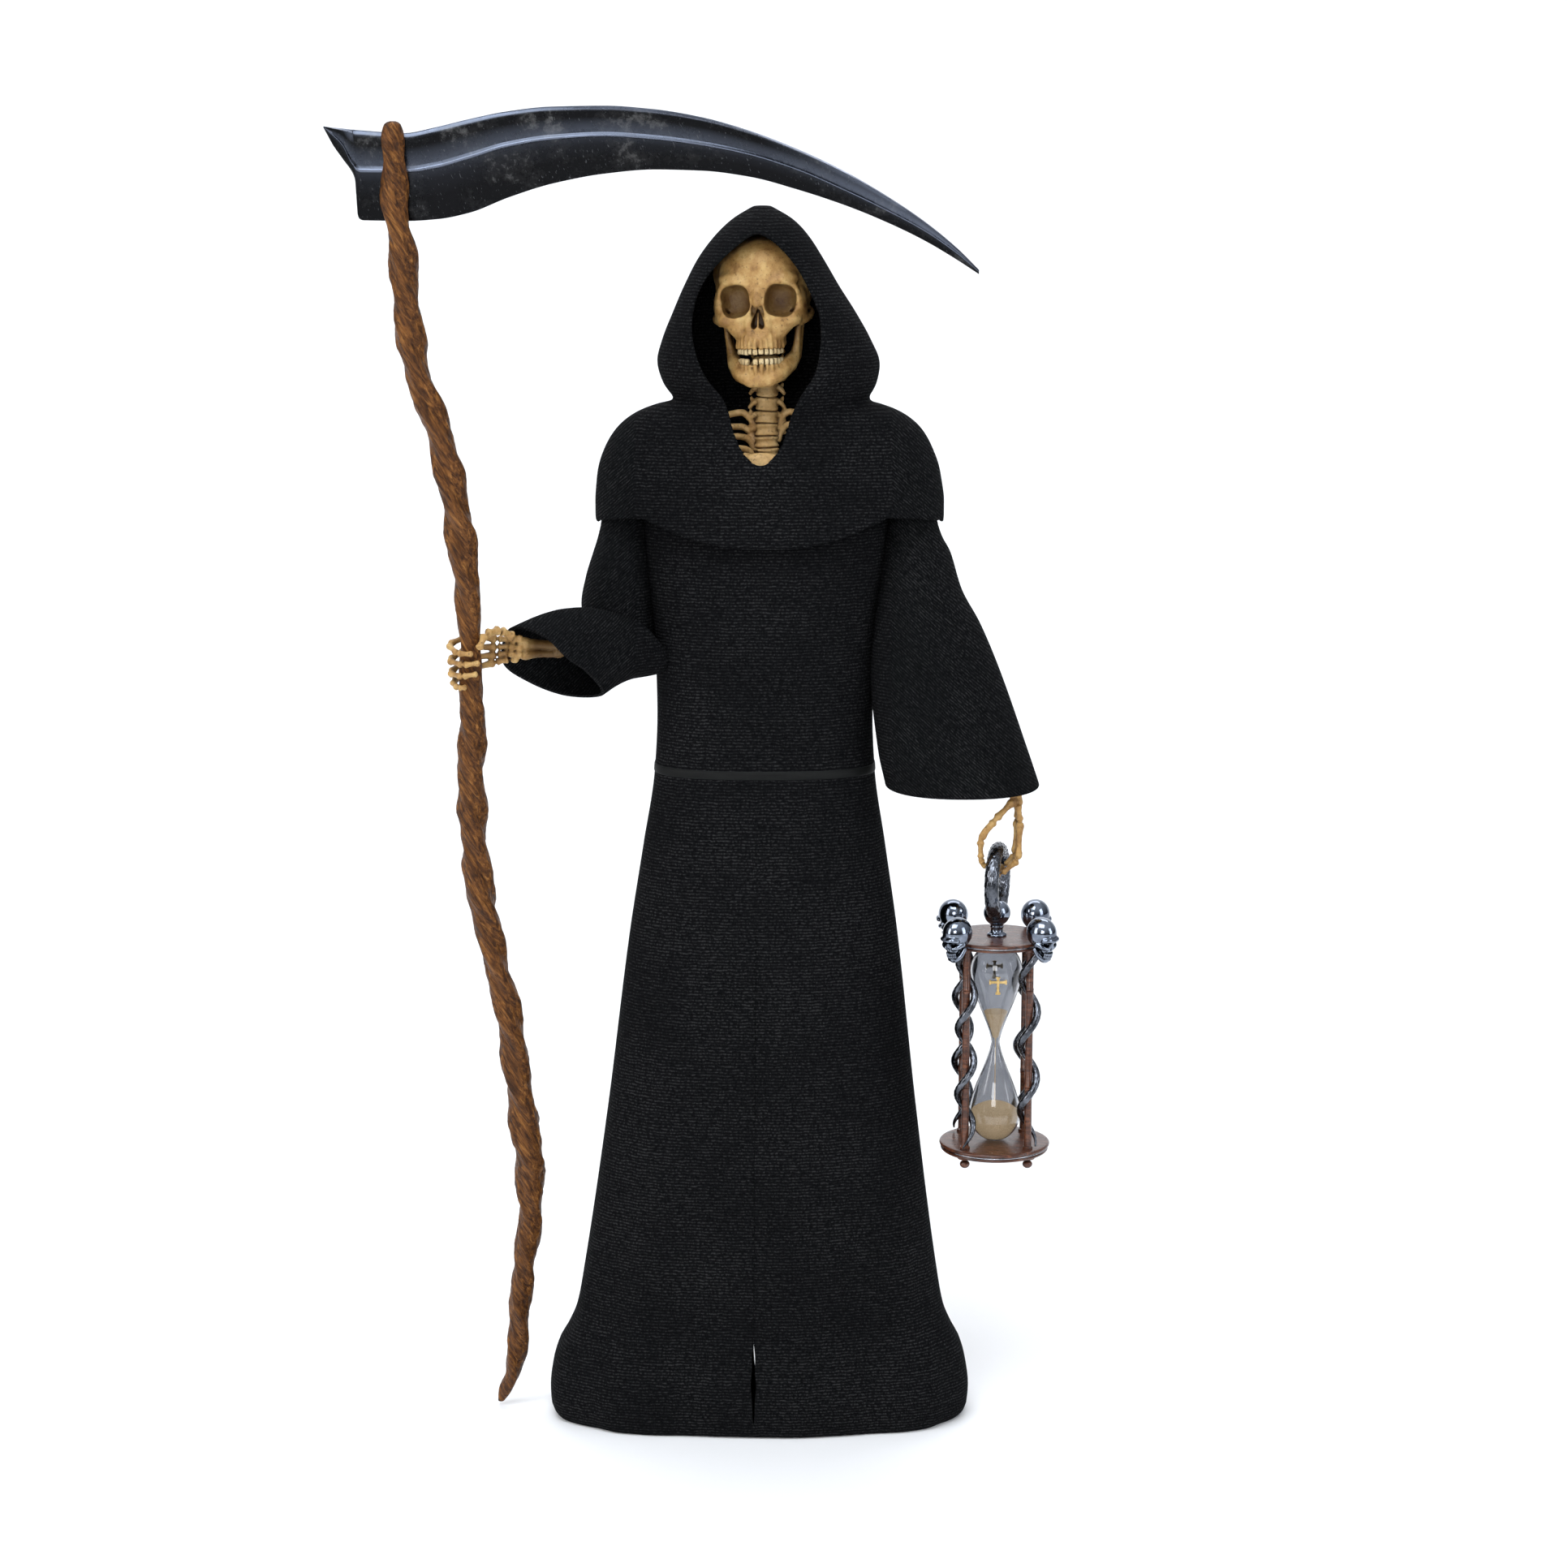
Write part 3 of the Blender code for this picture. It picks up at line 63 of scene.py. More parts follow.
# Robe: rows of height, half width, half depth and middle of the width
BODY_ROWS = (
    (0, 77, 30.5, -2), (4, 79.2, 32.2, -2), (11, 79.7, 32.8, -1.9), (20, 78.6, 32.4, -1.9),
    (28, 76.3, 31.6, -1.8), (34, 73, 31, -1.7), (42, 69.7, 30.4, -1.6), (57, 66.9, 30, -1.5),
    (120, 58, 28.2, -0.8), (188, 49.8, 25.8, -0.1), (221, 44.8, 24.6, 0.2), (249, 40.6, 23.6, 0.4),
    (270, 39.6, 23.4, 0.5), (300, 40.6, 24, 0.6), (330, 44.2, 24.8, 0.6), (358, 46, 22, 0.8),
)
BODY_POWER = 2.5
BODY_SIDES = 180
BODY_STEP = 2.2
FOLD_COUNT = 9
FOLD_DEPTH = 0.022
SLIT_X = -3.9
SLIT_WIDTH = 1.7
SLIT_LOW = 5.0
SLIT_TOP = 39.0
SEAM_TOP = 197.0
SEAM_WIDTH = 0.55
SEAM_DEPTH = 0.75
SEAM_DRIFT = 1.2
CUT_PAST = 8.0
BELT_HEIGHT = 250.5
BELT_TALL = 3.2

# Cape and hood; the cape's rows are like the robe's, and the opening's are X and height
CAPE_WALL = 1.4
HOOD_WALL = 2.0
CAPE_HEM = 332.5
CAPE_HEM_RISE = 11.5
CAPE_NOTCH = 45.0
CAPE_NOTCH_MIDDLE = 0.6
CAPE_HEM_SLOPE = 0.15
CAPE_POWER = 2.5
CAPE_SIDES = 240
HOOD_SIDES = 120
CAPE_ROWS = (
    (350, 63.4, 29.4, 2.3), (360, 62, 28.6, 2), (368, 59.2, 27.2, 1.9), (374.5, 55.2, 25.2, 2),
    (379.4, 49.4, 22.8, 2), (383, 41, 20.2, 2), (386, 26, 15.5, 2),
)
# Hood rows: height, half width, front depth, back depth, middle of the width
HOOD_ROWS = (
    (371, 23, 24.5, 17, 1.5), (383, 33.2, 29.5, 24, 3), (391, 38.8, 32.3, 28.4, 2.4),
    (398, 40.3, 33, 30.2, 1.9), (406, 37.8, 33, 30.4, 1.2), (416, 33, 32.2, 30, 0.4),
    (426, 27.6, 30.8, 28.6, -0.6), (435, 22.6, 28, 25.8, -0.9), (443, 17, 23, 20.4, -0.5),
    (449, 11, 15.6, 13.8, -0.2), (453.8, 3, 4.4, 4.4, -0.3),
)
HOOD_MIDDLE_Y = 2.0
OPENING = (
    (-3, 443.7), (-10.5, 438.6), (-17.3, 431.9), (-21.9, 425.3), (-24.4, 418), (-25.1, 409.3),
    (-22.8, 399.4), (-19.4, 392.9), (-14.3, 386.6), (-11.7, 380), (-10, 374), (-6.3, 366.8),
    (-0.6, 363.1), (4.9, 367.4), (8.1, 374), (10.1, 380.6), (13.5, 387.7), (18.1, 394.8), (20.1, 402.8),
    (20.3, 412.4), (18.9, 418.5), (13.5, 429.9), (6.9, 438.4), (1.5, 442.6),
)
OPENING_BACK = -6.0
OPENING_FRONT = -60.0

# Sleeves: rows of middle, half width and half depth, or of half height and half depth at
# the elbow; the left one's are height, inner and outer X, middle Y and half depth
SLEEVE_WALL = 1.4
SLEEVE_SIDES = 64
RIGHT_UPPER = (
    ((-50.2, 0, 352), 8, 11), ((-50.2, 0, 341), 8.8, 13), ((-50.6, 0, 335), 9.7, 14),
    ((-51, 0, 330), 10.9, 15.5), ((-52.6, 0, 320), 12.4, 17), ((-53.4, -0.5, 311), 13.2, 16.5),
    ((-52, -1, 300), 12.4, 14.5), ((-48.5, -2, 291), 8, 9),
)
RIGHT_ELBOW = (
    ((-36.4, -8, 291.6), 3, 4), ((-41.5, -9.5, 292), 6.6, 9), ((-50, -13, 296), 11.6, 13),
)
RIGHT_BULGE = 5.0
RIGHT_FLOOR = 0.3
FOREARM_ACROSS = Vector((0.79, -0.61, 0.0))
RIGHT_MOUTH = (
    (-89.8, -38, 306.5), (-77.4, -46, 305.2), (-68.6, -47, 297.3), (-61.2, -42, 290.8),
    (-57.1, -30, 281.3), (-70.3, -24, 279.8), (-83.7, -24, 284.5), (-93.3, -30, 293.1),
)
LEFT_SLEEVE = (
    (352, 46.6, 62.2, 0, 11), (341, 44.8, 63.3, 0, 12.6), (335, 43.8, 65.2, 0, 13.6),
    (330, 42.8, 68, 0, 15.5), (316, 41.4, 72.4, -2, 17.2), (304, 40, 79, -4, 18),
    (288, 38.9, 85.9, -7, 19), (258, 41.8, 96.6, -12, 20.5), (246, 44.4, 100.7, -13, 19.5),
)
LEFT_MOUTH_DIP = 2.6
LEFT_CAVITY_TOP = 262.0

# Scythe: rows of X, height and radius for the staff, and of X and the heights of the
# back, the rib and the edge for the blade
LEAN = math.tan(math.radians(10.0))
LEAN_Y = -46.0
LEAN_Z = 287.0
STAFF_POINTS = (
    (-101.2, 1.4, 1), (-99, 7, 2.6), (-96.2, 14, 3.2), (-94.2, 26, 3.7), (-93, 40, 4), (-91.6, 54, 4),
    (-89.4, 68, 4.3), (-88, 80, 4.3), (-87.4, 93, 4.9), (-87.6, 104, 5.4), (-88.8, 118, 5.1),
    (-90.4, 131, 4.8), (-91.4, 143, 4.8), (-93, 157, 4.8), (-94.6, 169, 4.7), (-97.4, 180, 4.5),
    (-99.4, 193, 4.6), (-101.8, 206, 5.2), (-103.2, 217, 4.9), (-103.8, 230, 4.6), (-104.4, 240, 5),
    (-104.4, 251, 4.6), (-103.4, 264, 4.8), (-103, 277, 4.5), (-103, 290, 3.7), (-102.9, 304, 3.7),
    (-102.9, 318, 4.2), (-103.9, 331, 4.6), (-104.8, 343, 5.1), (-106.8, 355, 4.5), (-108.4, 365, 5.1),
    (-110.2, 375, 4.6), (-113.2, 384, 4.6), (-116, 392, 4.5), (-118, 401, 4.4), (-119.6, 410, 4.7),
    (-120.4, 420, 4.5), (-120.6, 430, 4.4), (-120.9, 438, 4.8), (-122, 447, 4.2), (-122.7, 456, 4.3),
    (-122.8, 466, 4.1), (-122.6, 476, 3.8), (-122.4, 481, 2.6),
)
STAFF_DOME = 2.2
STAFF_SIDES = 48
STAFF_STEP = 1.1
BLADE_SECTIONS = (
    (-146, 480.4, 480.1, 479.8), (-143, 480, 477.6, 474), (-139.6, 479.7, 474, 469),
    (-137.2, 479.4, 468.8, 465.4), (-136.2, 479.3, 467.4, 462), (-136, 479.3, 467, 451.6),
    (-135.4, 479.2, 466.4, 449.9), (-134, 479.1, 465.9, 449.4), (-119, 478.2, 465.8, 449.2),
    (-109, 480, 467.2, 449.8), (-98, 482.6, 470.2, 452), (-85, 485.2, 474, 457),
    (-70, 486.8, 476.4, 461.6), (-52, 487.1, 477.4, 464.9), (-36, 486, 476.4, 466.2),
    (-20, 483.4, 474.4, 465.8), (-4, 479, 471.2, 463.8), (12, 473, 466.2, 459.6),
    (28, 465.6, 459.4, 454.4), (42, 457.6, 452.8, 448.8), (55, 449, 445.9, 442.6),
    (66, 440.2, 438.4, 436.2), (73.5, 432.9, 432.2, 431.4),
)
BLADE_SLICES = 170
BLADE_HEEL = (-137.4, -133.4, 0.2)  # from, to and step of the finer slices
BLADE_SLIM = 14.0  # it thins where it is less tall than this
BLADE_THICK = 3.6
BLADE_BEHIND = 3.4

# Skull
SKULL_PLACE = (0.3, 0.0)
SKULL_PIVOT = 420.0
SKULL_TURN = math.radians(-7.7)
SKULL_TILT = math.radians(-1.8)

# Hourglass
GLASS_AXIS = (85.6, -18.0)
BASE_RADIUS = 20.4
BASE_TOP = 112.2
BASE_THICK = 3.2
TOP_RADIUS = 18.8
TOP_TOP = 190.1
TOP_THICK = 2.8
FOOT_TALL = 4.0
POST_RADIUS = 1.35
POST_RING = 16.3
GLASS_RADIUS = 9.6
GLASS_NECK = 1.5
GLASS_SHOULDER = 0.28
GLASS_WALL = 0.7
GLASS_SIDES = 96
SAND_SIDES = 64
PLATE_SIDES = 128
PLATE_GROOVE = 0.49  # its depth below the top as a share of the plate's thickness
POST_JOINTS = (135.5, 172.0)
SERPENT_RADIUS = 1.3
SERPENT_PITCH = 24.8
SERPENT_STEP = 0.28
SERPENT_LEAD = math.radians(20.0)
HEAD_RADIUS = 5.3
HEAD_RING = 21.8
HEAD_HEIGHT = 194.3
HEAD_SWELL = 1.1
RING_RADIUS = 11.8
RING_TUBE = 2.55
RING_STEPS = 420
BALL_RADIUS = 4.9
BALL_HEIGHT = 198.6
RING_TURN = math.radians(14.0)


# Meshes

def link(name, mesh):
    """A mesh as an object in the scene."""
    made = bpy.data.objects.new(name, mesh)
    bpy.context.scene.collection.objects.link(made)
    return made


def from_bmesh(name, bm):
    """A bmesh in millimetres as an object in metres."""
    bmesh.ops.recalc_face_normals(bm, faces=bm.faces)
    bmesh.ops.scale(bm, vec=(MM, MM, MM), verts=bm.verts)
    mesh = bpy.data.meshes.new(name)
    bm.to_mesh(mesh)
    bm.free()
    mesh.shade_smooth()
    return link(name, mesh)


def loft(name, rings, ends="fan"):
    """A skin over rings of points, closed by a fan at each end or joined end to end."""
    rings = np.asarray(rings, float)
    count, sides, _ = rings.shape
    points = rings.reshape(-1, 3)
    i, j = np.meshgrid(np.arange(count if ends == "joined" else count - 1), np.arange(sides),
                       indexing="ij")
    up, side = (i + 1) % count, (j + 1) % sides
    faces = np.stack([i * sides + j, i * sides + side, up * sides + side, up * sides + j], -1)
    faces = faces.reshape(-1, 4).tolist()
    if ends == "fan":
        tips = [rings[0].mean(0), rings[-1].mean(0)]
        points = np.vstack([points, tips])
        for tip, start in ((count * sides, 0), (count * sides + 1, (count - 1) * sides)):
            for k in range(sides):
                ring = (start + k, start + (k + 1) % sides)
                faces.append((*(ring if start else ring[::-1]), tip))
    if ends == "flat":
        faces.append(tuple(range(sides))[::-1])
        faces.append(tuple(range((count - 1) * sides, count * sides)))
    mesh = bpy.data.meshes.new(name)
    mesh.from_pydata(points * MM, [], faces)
    mesh.validate()
    bm = bmesh.new()
    bm.from_mesh(mesh)
    bmesh.ops.recalc_face_normals(bm, faces=bm.faces)
    bm.to_mesh(mesh)
    bm.free()
    mesh.shade_smooth()
    return link(name, mesh)


def bake(target):
    """Replace an object's mesh by what its modifiers make of it."""
    bpy.context.view_layer.update()
    graph = bpy.context.evaluated_depsgraph_get()
    mesh = bpy.data.meshes.new_from_object(target.evaluated_get(graph))
    target.modifiers.clear()
    target.data = mesh


def combine(target, tool, operation):
    """Join or cut target with tool, which is used up."""
    change = target.modifiers.new(operation, "BOOLEAN")
    change.operation = operation
    change.solver = "MANIFOLD"
    change.object = tool
    bake(target)
    bpy.data.objects.remove(tool, do_unlink=True)


def melt(target, voxel, rounds, faces=None):
    """Fuse a mesh into one skin, soften it, and bring it down to a number of triangles."""
    change = target.modifiers.new("melt", "REMESH")
    change.mode = "VOXEL"
    change.voxel_size = voxel * MM
    change.use_smooth_shade = True
    soften = target.modifiers.new("soften", "SMOOTH")
    soften.iterations = rounds
    bake(target)
    if faces:
        count = sum(len(face.vertices) - 2 for face in target.data.polygons)
        if count > faces:
            thin = target.modifiers.new("thin", "DECIMATE")
            thin.ratio = faces / count
            bake(target)
    target.data.shade_smooth()


def join(name, pieces):
    """Several objects as one."""
    bm = bmesh.new()
    slots = []
    for piece in pieces:
        start = len(bm.faces)
        bm.from_mesh(piece.data)
        bm.faces.ensure_lookup_table()
        for surface in piece.data.materials:
            if surface not in slots:
                slots.append(surface)
        for face in list(bm.faces)[start:]:
            if piece.data.materials:
                face.material_index = slots.index(piece.data.materials[face.material_index])
    mesh = bpy.data.meshes.new(name)
    bm.to_mesh(mesh)
    bm.free()
    for piece in pieces:
        bpy.data.objects.remove(piece, do_unlink=True)
    made = link(name, mesh)
    for surface in slots:
        made.data.materials.append(surface)
    return made


def crisp(target, degrees=40.0):
    """Smooth shading with sharp edges above an angle."""
    target.data.shade_smooth()
    target.data.set_sharp_from_angle(angle=math.radians(degrees))


def dress(target, surface, *nodes):
    """Give a finished piece its material and its body, and hide the imported parts that it stands for."""
    target.data.materials.clear()
    target.data.materials.append(surface)
    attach(target, "root")
    if nodes:
        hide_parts(*nodes)


def points_of(target):
    """All points of a mesh and their normals."""
    count = len(target.data.vertices)
    spots = np.empty(count * 3)
    ways = np.empty(count * 3)
    target.data.vertices.foreach_get("co", spots)
    target.data.vertices.foreach_get("normal", ways)
    return spots.reshape(-1, 3) / MM, ways.reshape(-1, 3)


def set_points(target, spots):
    """Put a mesh's points back."""
    target.data.vertices.foreach_set("co", (spots * MM).ravel())
    target.data.update()


def ridge(target, path, width, height):
    """Raise, or with a negative height sink, a soft ridge along a path on a surface."""
    spots, ways = points_of(target)
    path = np.asarray(path, float)
    nearest = np.full(len(spots), 1e9)
    fade = np.ones(len(spots))
    lengths = np.linalg.norm(np.diff(path, axis=0), axis=1)
    total, run = lengths.sum(), 0.0
    for start, end, length in zip(path, path[1:], lengths):
        line = (end - start) / length
        along = np.clip((spots - start) @ line, 0.0, length)
        away = np.linalg.norm(spots - (start + along[:, None] * line), axis=1)
        share = (run + along) / total
        closer = away < nearest
        nearest = np.where(closer, away, nearest)
        fade = np.where(closer, np.sin(np.pi * (0.08 + 0.84 * share)), fade)
        run += length
    lift = height * fade * np.exp(-(nearest / width) ** 2)
    set_points(target, spots + ways * lift[:, None])


# Curves

def curve_through(knots, values, places):
    """A smooth curve through rows of values, without overshoot, read at places."""
    knots = np.asarray(knots, float)
    values = np.asarray(values, float)
    places = np.asarray(places, float)
    step = np.diff(knots)[:, None]
    slope = np.diff(values, axis=0) / step
    tangent = np.zeros_like(values)
    same = slope[1:] * slope[:-1] > 0
    total = np.where(same, slope[1:] + slope[:-1], 1.0)
    tangent[1:-1] = np.where(same, 2 * slope[1:] * slope[:-1] / total, 0.0)
    tangent[0], tangent[-1] = slope[0], slope[-1]
    i = np.clip(np.searchsorted(knots, places, side="right") - 1, 0, len(knots) - 2)
    t = ((places - knots[i]) / step[i, 0])[:, None]
    h = step[i]
    return ((1 + 2 * t) * (1 - t) ** 2 * values[i] + t * (1 - t) ** 2 * h * tangent[i]
            + t * t * (3 - 2 * t) * values[i + 1] + t * t * (t - 1) * h * tangent[i + 1])


def table_at(rows, places):
    """A table whose first column is the place, read at many places."""
    rows = np.asarray(rows, float)
    return curve_through(rows[:, 0], rows[:, 1:], places)


def turns(count):
    """Equal angles once round."""
    return np.arange(count) * 2 * np.pi / count


def ring_at(x, y, z):
    """A ring of points, each coordinate an array or one number for the whole ring."""
    return np.stack(np.broadcast_arrays(x, y, z), -1)


def running(points):
    """Lengths run along a line at each of its points."""
    return np.concatenate([[0.0], np.cumsum(np.linalg.norm(np.diff(points, axis=0), axis=1))])


def rounded(angles, half_x, half_y, power):
    """Points of a rounded oblong."""
    across, along = np.cos(angles), np.sin(angles)
    x = half_x * np.sign(across) * np.abs(across) ** (2 / power)
    y = half_y * np.sign(along) * np.abs(along) ** (2 / power)
    return x, y


def smooth_loop(points, steps):
    """A closed smooth curve through points, with steps between each two."""
    points = np.asarray(points, float)
    a, b = np.roll(points, 1, 0)[:, None], points[:, None]
    c, d = np.roll(points, -1, 0)[:, None], np.roll(points, -2, 0)[:, None]
    t = (np.arange(steps) / steps)[None, :, None]
    curve = 0.5 * (2 * b + (c - a) * t + (2 * a - 5 * b + 4 * c - d) * t ** 2
                   + (3 * b - a - 3 * c + d) * t ** 3)
    return curve.reshape(-1, points.shape[1])


def smooth_path(points, step):
    """An open smooth curve through points, with about equal steps."""
    points = np.asarray(points, float)
    run = running(points)
    places = np.linspace(0.0, run[-1], max(2, int(run[-1] / step) + 1))
    return curve_through(run, points, places)


def dense(rings, steps):
    """Rings filled in with smooth steps between each two."""
    rings = np.asarray(rings, float)
    count = len(rings)
    flat = rings.reshape(count, -1)
    run = running(rings.mean(axis=1))
    places = np.linspace(0.0, run[-1], steps)
    return curve_through(run, flat, places).reshape(len(places), *rings.shape[1:])


# Robe

def body_rings(heights, outward=0.0):
    """Levels of the robe's body with soft folds that fade towards the belt."""
    angles = turns(BODY_SIDES)
    rows = table_at(BODY_ROWS, heights)
    rings = []
    for height, (half_x, half_y, middle) in zip(heights, rows):
        x, y = rounded(angles, half_x + outward, half_y + outward, BODY_POWER)
        fade = max(0.0, 1.0 - height / BELT_HEIGHT)
        face = 1.0 - np.abs(np.cos(angles)) ** 6
        fold = FOLD_DEPTH * fade * face * np.cos(FOLD_COUNT * angles + 0.6)
        fine = 0.004 * fade * face * np.cos(23 * angles + 2.1 + height * 0.006)
        fine += 0.006 * face * np.cos(14 * angles + 0.8) * max(0.0, 1 - abs(height - 318) / 60)
        swell = 1.0 + fold + fine
        rings.append(ring_at(middle + x * swell, y * swell, height))
    return np.asarray(rings)


def level_rings(rows, steps, power, inset=0.0):
    """Level rings from rows of middle, half width and half depth."""
    rings = []
    for middle, half_x, half_y in rows:
        x, y = rounded(turns(SLEEVE_SIDES), half_x - inset, half_y - inset, power)
        rings.append(ring_at(middle[0] + x, middle[1] + y, middle[2]))
    return dense(rings, steps)


def elbow_rings():
    """Rings of the right sleeve round the elbow."""
    angles = turns(SLEEVE_SIDES)
    rings = []
    for middle, half_z, half_out in RIGHT_ELBOW:
        up = np.outer(np.cos(angles) * half_z, (0, 0, 1))
        rings.append(np.array(middle) + up + np.outer(np.sin(angles) * half_out, FOREARM_ACROSS))
    return rings


def forearm_rings(shares):
    """Rings of the right sleeve by their share of the way from the elbow to the mouth."""
    mouth = smooth_loop(RIGHT_MOUTH, SLEEVE_SIDES // len(RIGHT_MOUTH))
    start = elbow_rings()[-1]
    high = np.maximum(0.0, np.cos(turns(SLEEVE_SIDES)))
    rings = []
    for share in shares:
        ring = start + (mouth - start) * share
        ring[:, 2] += RIGHT_BULGE * math.sin(math.pi * share) * high
        rings.append(ring)
    return rings


def inset_rings(rings, inset):
    """Rings with each point moved towards its ring's middle."""
    moved = []
    for ring in rings:
        inward = ring.mean(axis=0) - ring
        moved.append(ring + inward / np.linalg.norm(inward, axis=1)[:, None] * inset)
    return moved


def left_rings(inset, rows, steps):
    """Rings of the left sleeve, the lowest dipping at its front."""
    levels = [(((inner + outer) / 2, middle_y, height), (outer - inner) / 2, half_y)
              for height, inner, outer, middle_y, half_y in rows]
    rings = level_rings(levels, steps, 2.3, inset)
    middle_y, half_y = rows[-1][3], rows[-1][4]
    low = rows[-1][0]
    share = np.clip(1.0 - (rings[:, :, 2] - low) / 12.0, 0.0, 1.0)
    rings[:, :, 2] += share * LEFT_MOUTH_DIP * (rings[:, :, 1] - middle_y) / half_y
    return rings


def front_of_body(heights, x):
    """Y of the robe's front at some heights and one distance from the middle."""
    rings = body_rings(heights)
    front = []
    for ring in rings:
        near = ring[ring[:, 1] < 0]
        near = near[np.argsort(near[:, 0])]
        front.append(np.interp(x, near[:, 0], near[:, 1]))
    return np.array(front)


def slit_form():
    """A lens-shaped opening between the two halves of the hem."""
    share = np.linspace(0.0, 1.0, 21)
    bulge = np.sin(np.pi * share) * SLIT_WIDTH / 2
    bulge *= 1.0 + 0.25 * np.sin(share * 17.0)
    heights = SLIT_LOW + (SLIT_TOP - SLIT_LOW) * share
    x = np.concatenate([SLIT_X + bulge, (SLIT_X - bulge)[-2:0:-1]])
    z = np.concatenate([heights, heights[-2:0:-1]])
    reach = BODY_ROWS[2][2] + CUT_PAST
    return loft("slit", [ring_at(x, y, z) for y in (-reach, reach)])


def seam_form():
    """The groove of the front seam, from the slit upwards."""
    heights = np.linspace(SLIT_TOP - 2.0, SEAM_TOP, 60)
    rings = []
    for height, front in zip(heights, front_of_body(heights, SLIT_X + SEAM_DRIFT / 2)):
        drift = SEAM_DRIFT * (height - SLIT_TOP) / (SEAM_TOP - SLIT_TOP)
        x = SLIT_X + drift + 0.12 * math.sin(height * 0.11)
        near, far, half = front - CUT_PAST, front + SEAM_DEPTH, SEAM_WIDTH / 2
        rings.append([(x - half, near, height), (x + half, near, height),
                      (x + half * 0.4, far, height), (x - half * 0.4, far, height)])
    return loft("seam", rings)


def make_robe(cloth):
    """Gown with both sleeves, hollow cuffs, a front seam and a slit."""
    heights = np.arange(0.0, BODY_ROWS[-1][0] + 0.1, BODY_STEP)
    heights = np.concatenate([[0.0, 0.25, 0.8, 1.5], heights[1:]])
    rings = body_rings(heights)
    for k, tuck in enumerate((1.1, 0.55, 0.2)):
        rings[k] = inset_rings([rings[k]], tuck)[0]
    robe = loft("robe_cloth", rings)
    lower = dense(elbow_rings() + forearm_rings(np.linspace(0.12, 1.0, 9)), 40)
    combine(robe, loft("upper", level_rings(RIGHT_UPPER, 40, 2.0)), "UNION")
    combine(robe, loft("forearm", lower), "UNION")
    combine(robe, loft("left", left_rings(0.0, LEFT_SLEEVE, 60)), "UNION")
    right = inset_rings(forearm_rings(np.linspace(RIGHT_FLOOR, 1.0, 10)), SLEEVE_WALL)
    right.append(right[-1] + np.array((-3.6, -6.5, -6.7)))
    top = (LEFT_CAVITY_TOP, 60.0, 94.2, -11.6, 14.0)
    left = list(left_rings(SLEEVE_WALL, (top,) + LEFT_SLEEVE[-2:], 12))
    left.append(left[-1] + np.array((0.0, 0.0, -8.0)))
    for form in (loft("right_cuff", right), loft("left_cuff", left), slit_form(), seam_form()):
        combine(robe, form, "DIFFERENCE")
    crisp(robe, 50.0)
    dress(robe, cloth, "robe")


def make_belt(satin):
    """The narrow satin band round the waist."""
    profile = ((-0.8, 0.5), (0.05, 0.5), (0.22, 0.42), (0.3, 0.3), (0.3, -0.3), (0.22, -0.42),
               (0.05, -0.5), (-0.8, -0.5))
    rings = [body_rings([BELT_HEIGHT + level * BELT_TALL], outward)[0] for outward, level in profile]
    band = loft("belt_band", rings, ends="joined")
    crisp(band, 60.0)
    dress(band, satin, "belt")


def shrink(rows, inset):
    """Profile rows moved inwards, square to the profile, by inset."""
    rows = np.asarray(rows, float)
    moved = rows.copy()
    slope = np.gradient(rows[:, 1], rows[:, 0])
    length = np.sqrt(1 + slope ** 2)
    moved[:, 0] += inset * slope / length
    moved[:, 1:-1] -= inset / length[:, None]
    return moved


def hem_heights(x, y):
    """Heights of the cape's hem: it dips between the arms and is nearly level over them."""
    share = np.abs(x - CAPE_NOTCH_MIDDLE) / CAPE_NOTCH
    arms = CAPE_HEM_SLOPE * (np.abs(y) - 0.9 * CAPE_ROWS[0][2])
    return CAPE_HEM + CAPE_HEM_RISE * np.minimum(share, 1.0) ** 2.2 + np.where(share < 1.0, 0.0, arms)


def cape_form(name, inset, foot=None):
    """The cape's form down to its dipping hem, or the same form moved inwards."""
    rows = shrink(CAPE_ROWS, inset) if inset else np.asarray(CAPE_ROWS, float)
    angles = turns(CAPE_SIDES)
    heights = np.linspace(rows[0, 0], rows[-1, 0], 26)
    levels = table_at(rows, heights)
    half_x, half_y, middle = levels[0]
    x, y = rounded(angles, half_x, half_y, CAPE_POWER)
    x = middle + x
    hem = hem_heights(x, y)
    rings = [ring_at(x, y, hem + (heights[0] - hem) * share)
             for share in np.linspace(0.0, 1.0, 8)[:-1]]
    if foot is not None:
        rings.insert(0, ring_at(x, y, foot))
    for height, (half_x, half_y, middle) in zip(heights, levels):
        x, y = rounded(angles, half_x, half_y, CAPE_POWER)
        rings.append(ring_at(middle + x, y, height))
    return loft(name, rings)


def hood_form(name, inset):
    """The hood's form, deeper in front than behind, or the same form moved inwards."""
    rows = shrink(HOOD_ROWS, inset) if inset else np.asarray(HOOD_ROWS, float)
    angles = turns(HOOD_SIDES)
    heights = np.linspace(rows[0, 0], rows[-1, 0], 60)
    rings = []
    for height, (half_x, front, back, middle) in zip(heights, table_at(rows, heights)):
        depth = np.where(np.sin(angles) > 0, back, front)
        rings.append(ring_at(middle + half_x * np.cos(angles),
                             HOOD_MIDDLE_Y + depth * np.sin(angles), height))
    return loft(name, rings)


def opening_form():
    """The face opening's outline, run from front to back."""
    x, z = smooth_loop(OPENING, 5).T
    return loft("opening", [ring_at(x, y, z) for y in (OPENING_FRONT, OPENING_BACK)], ends="flat")


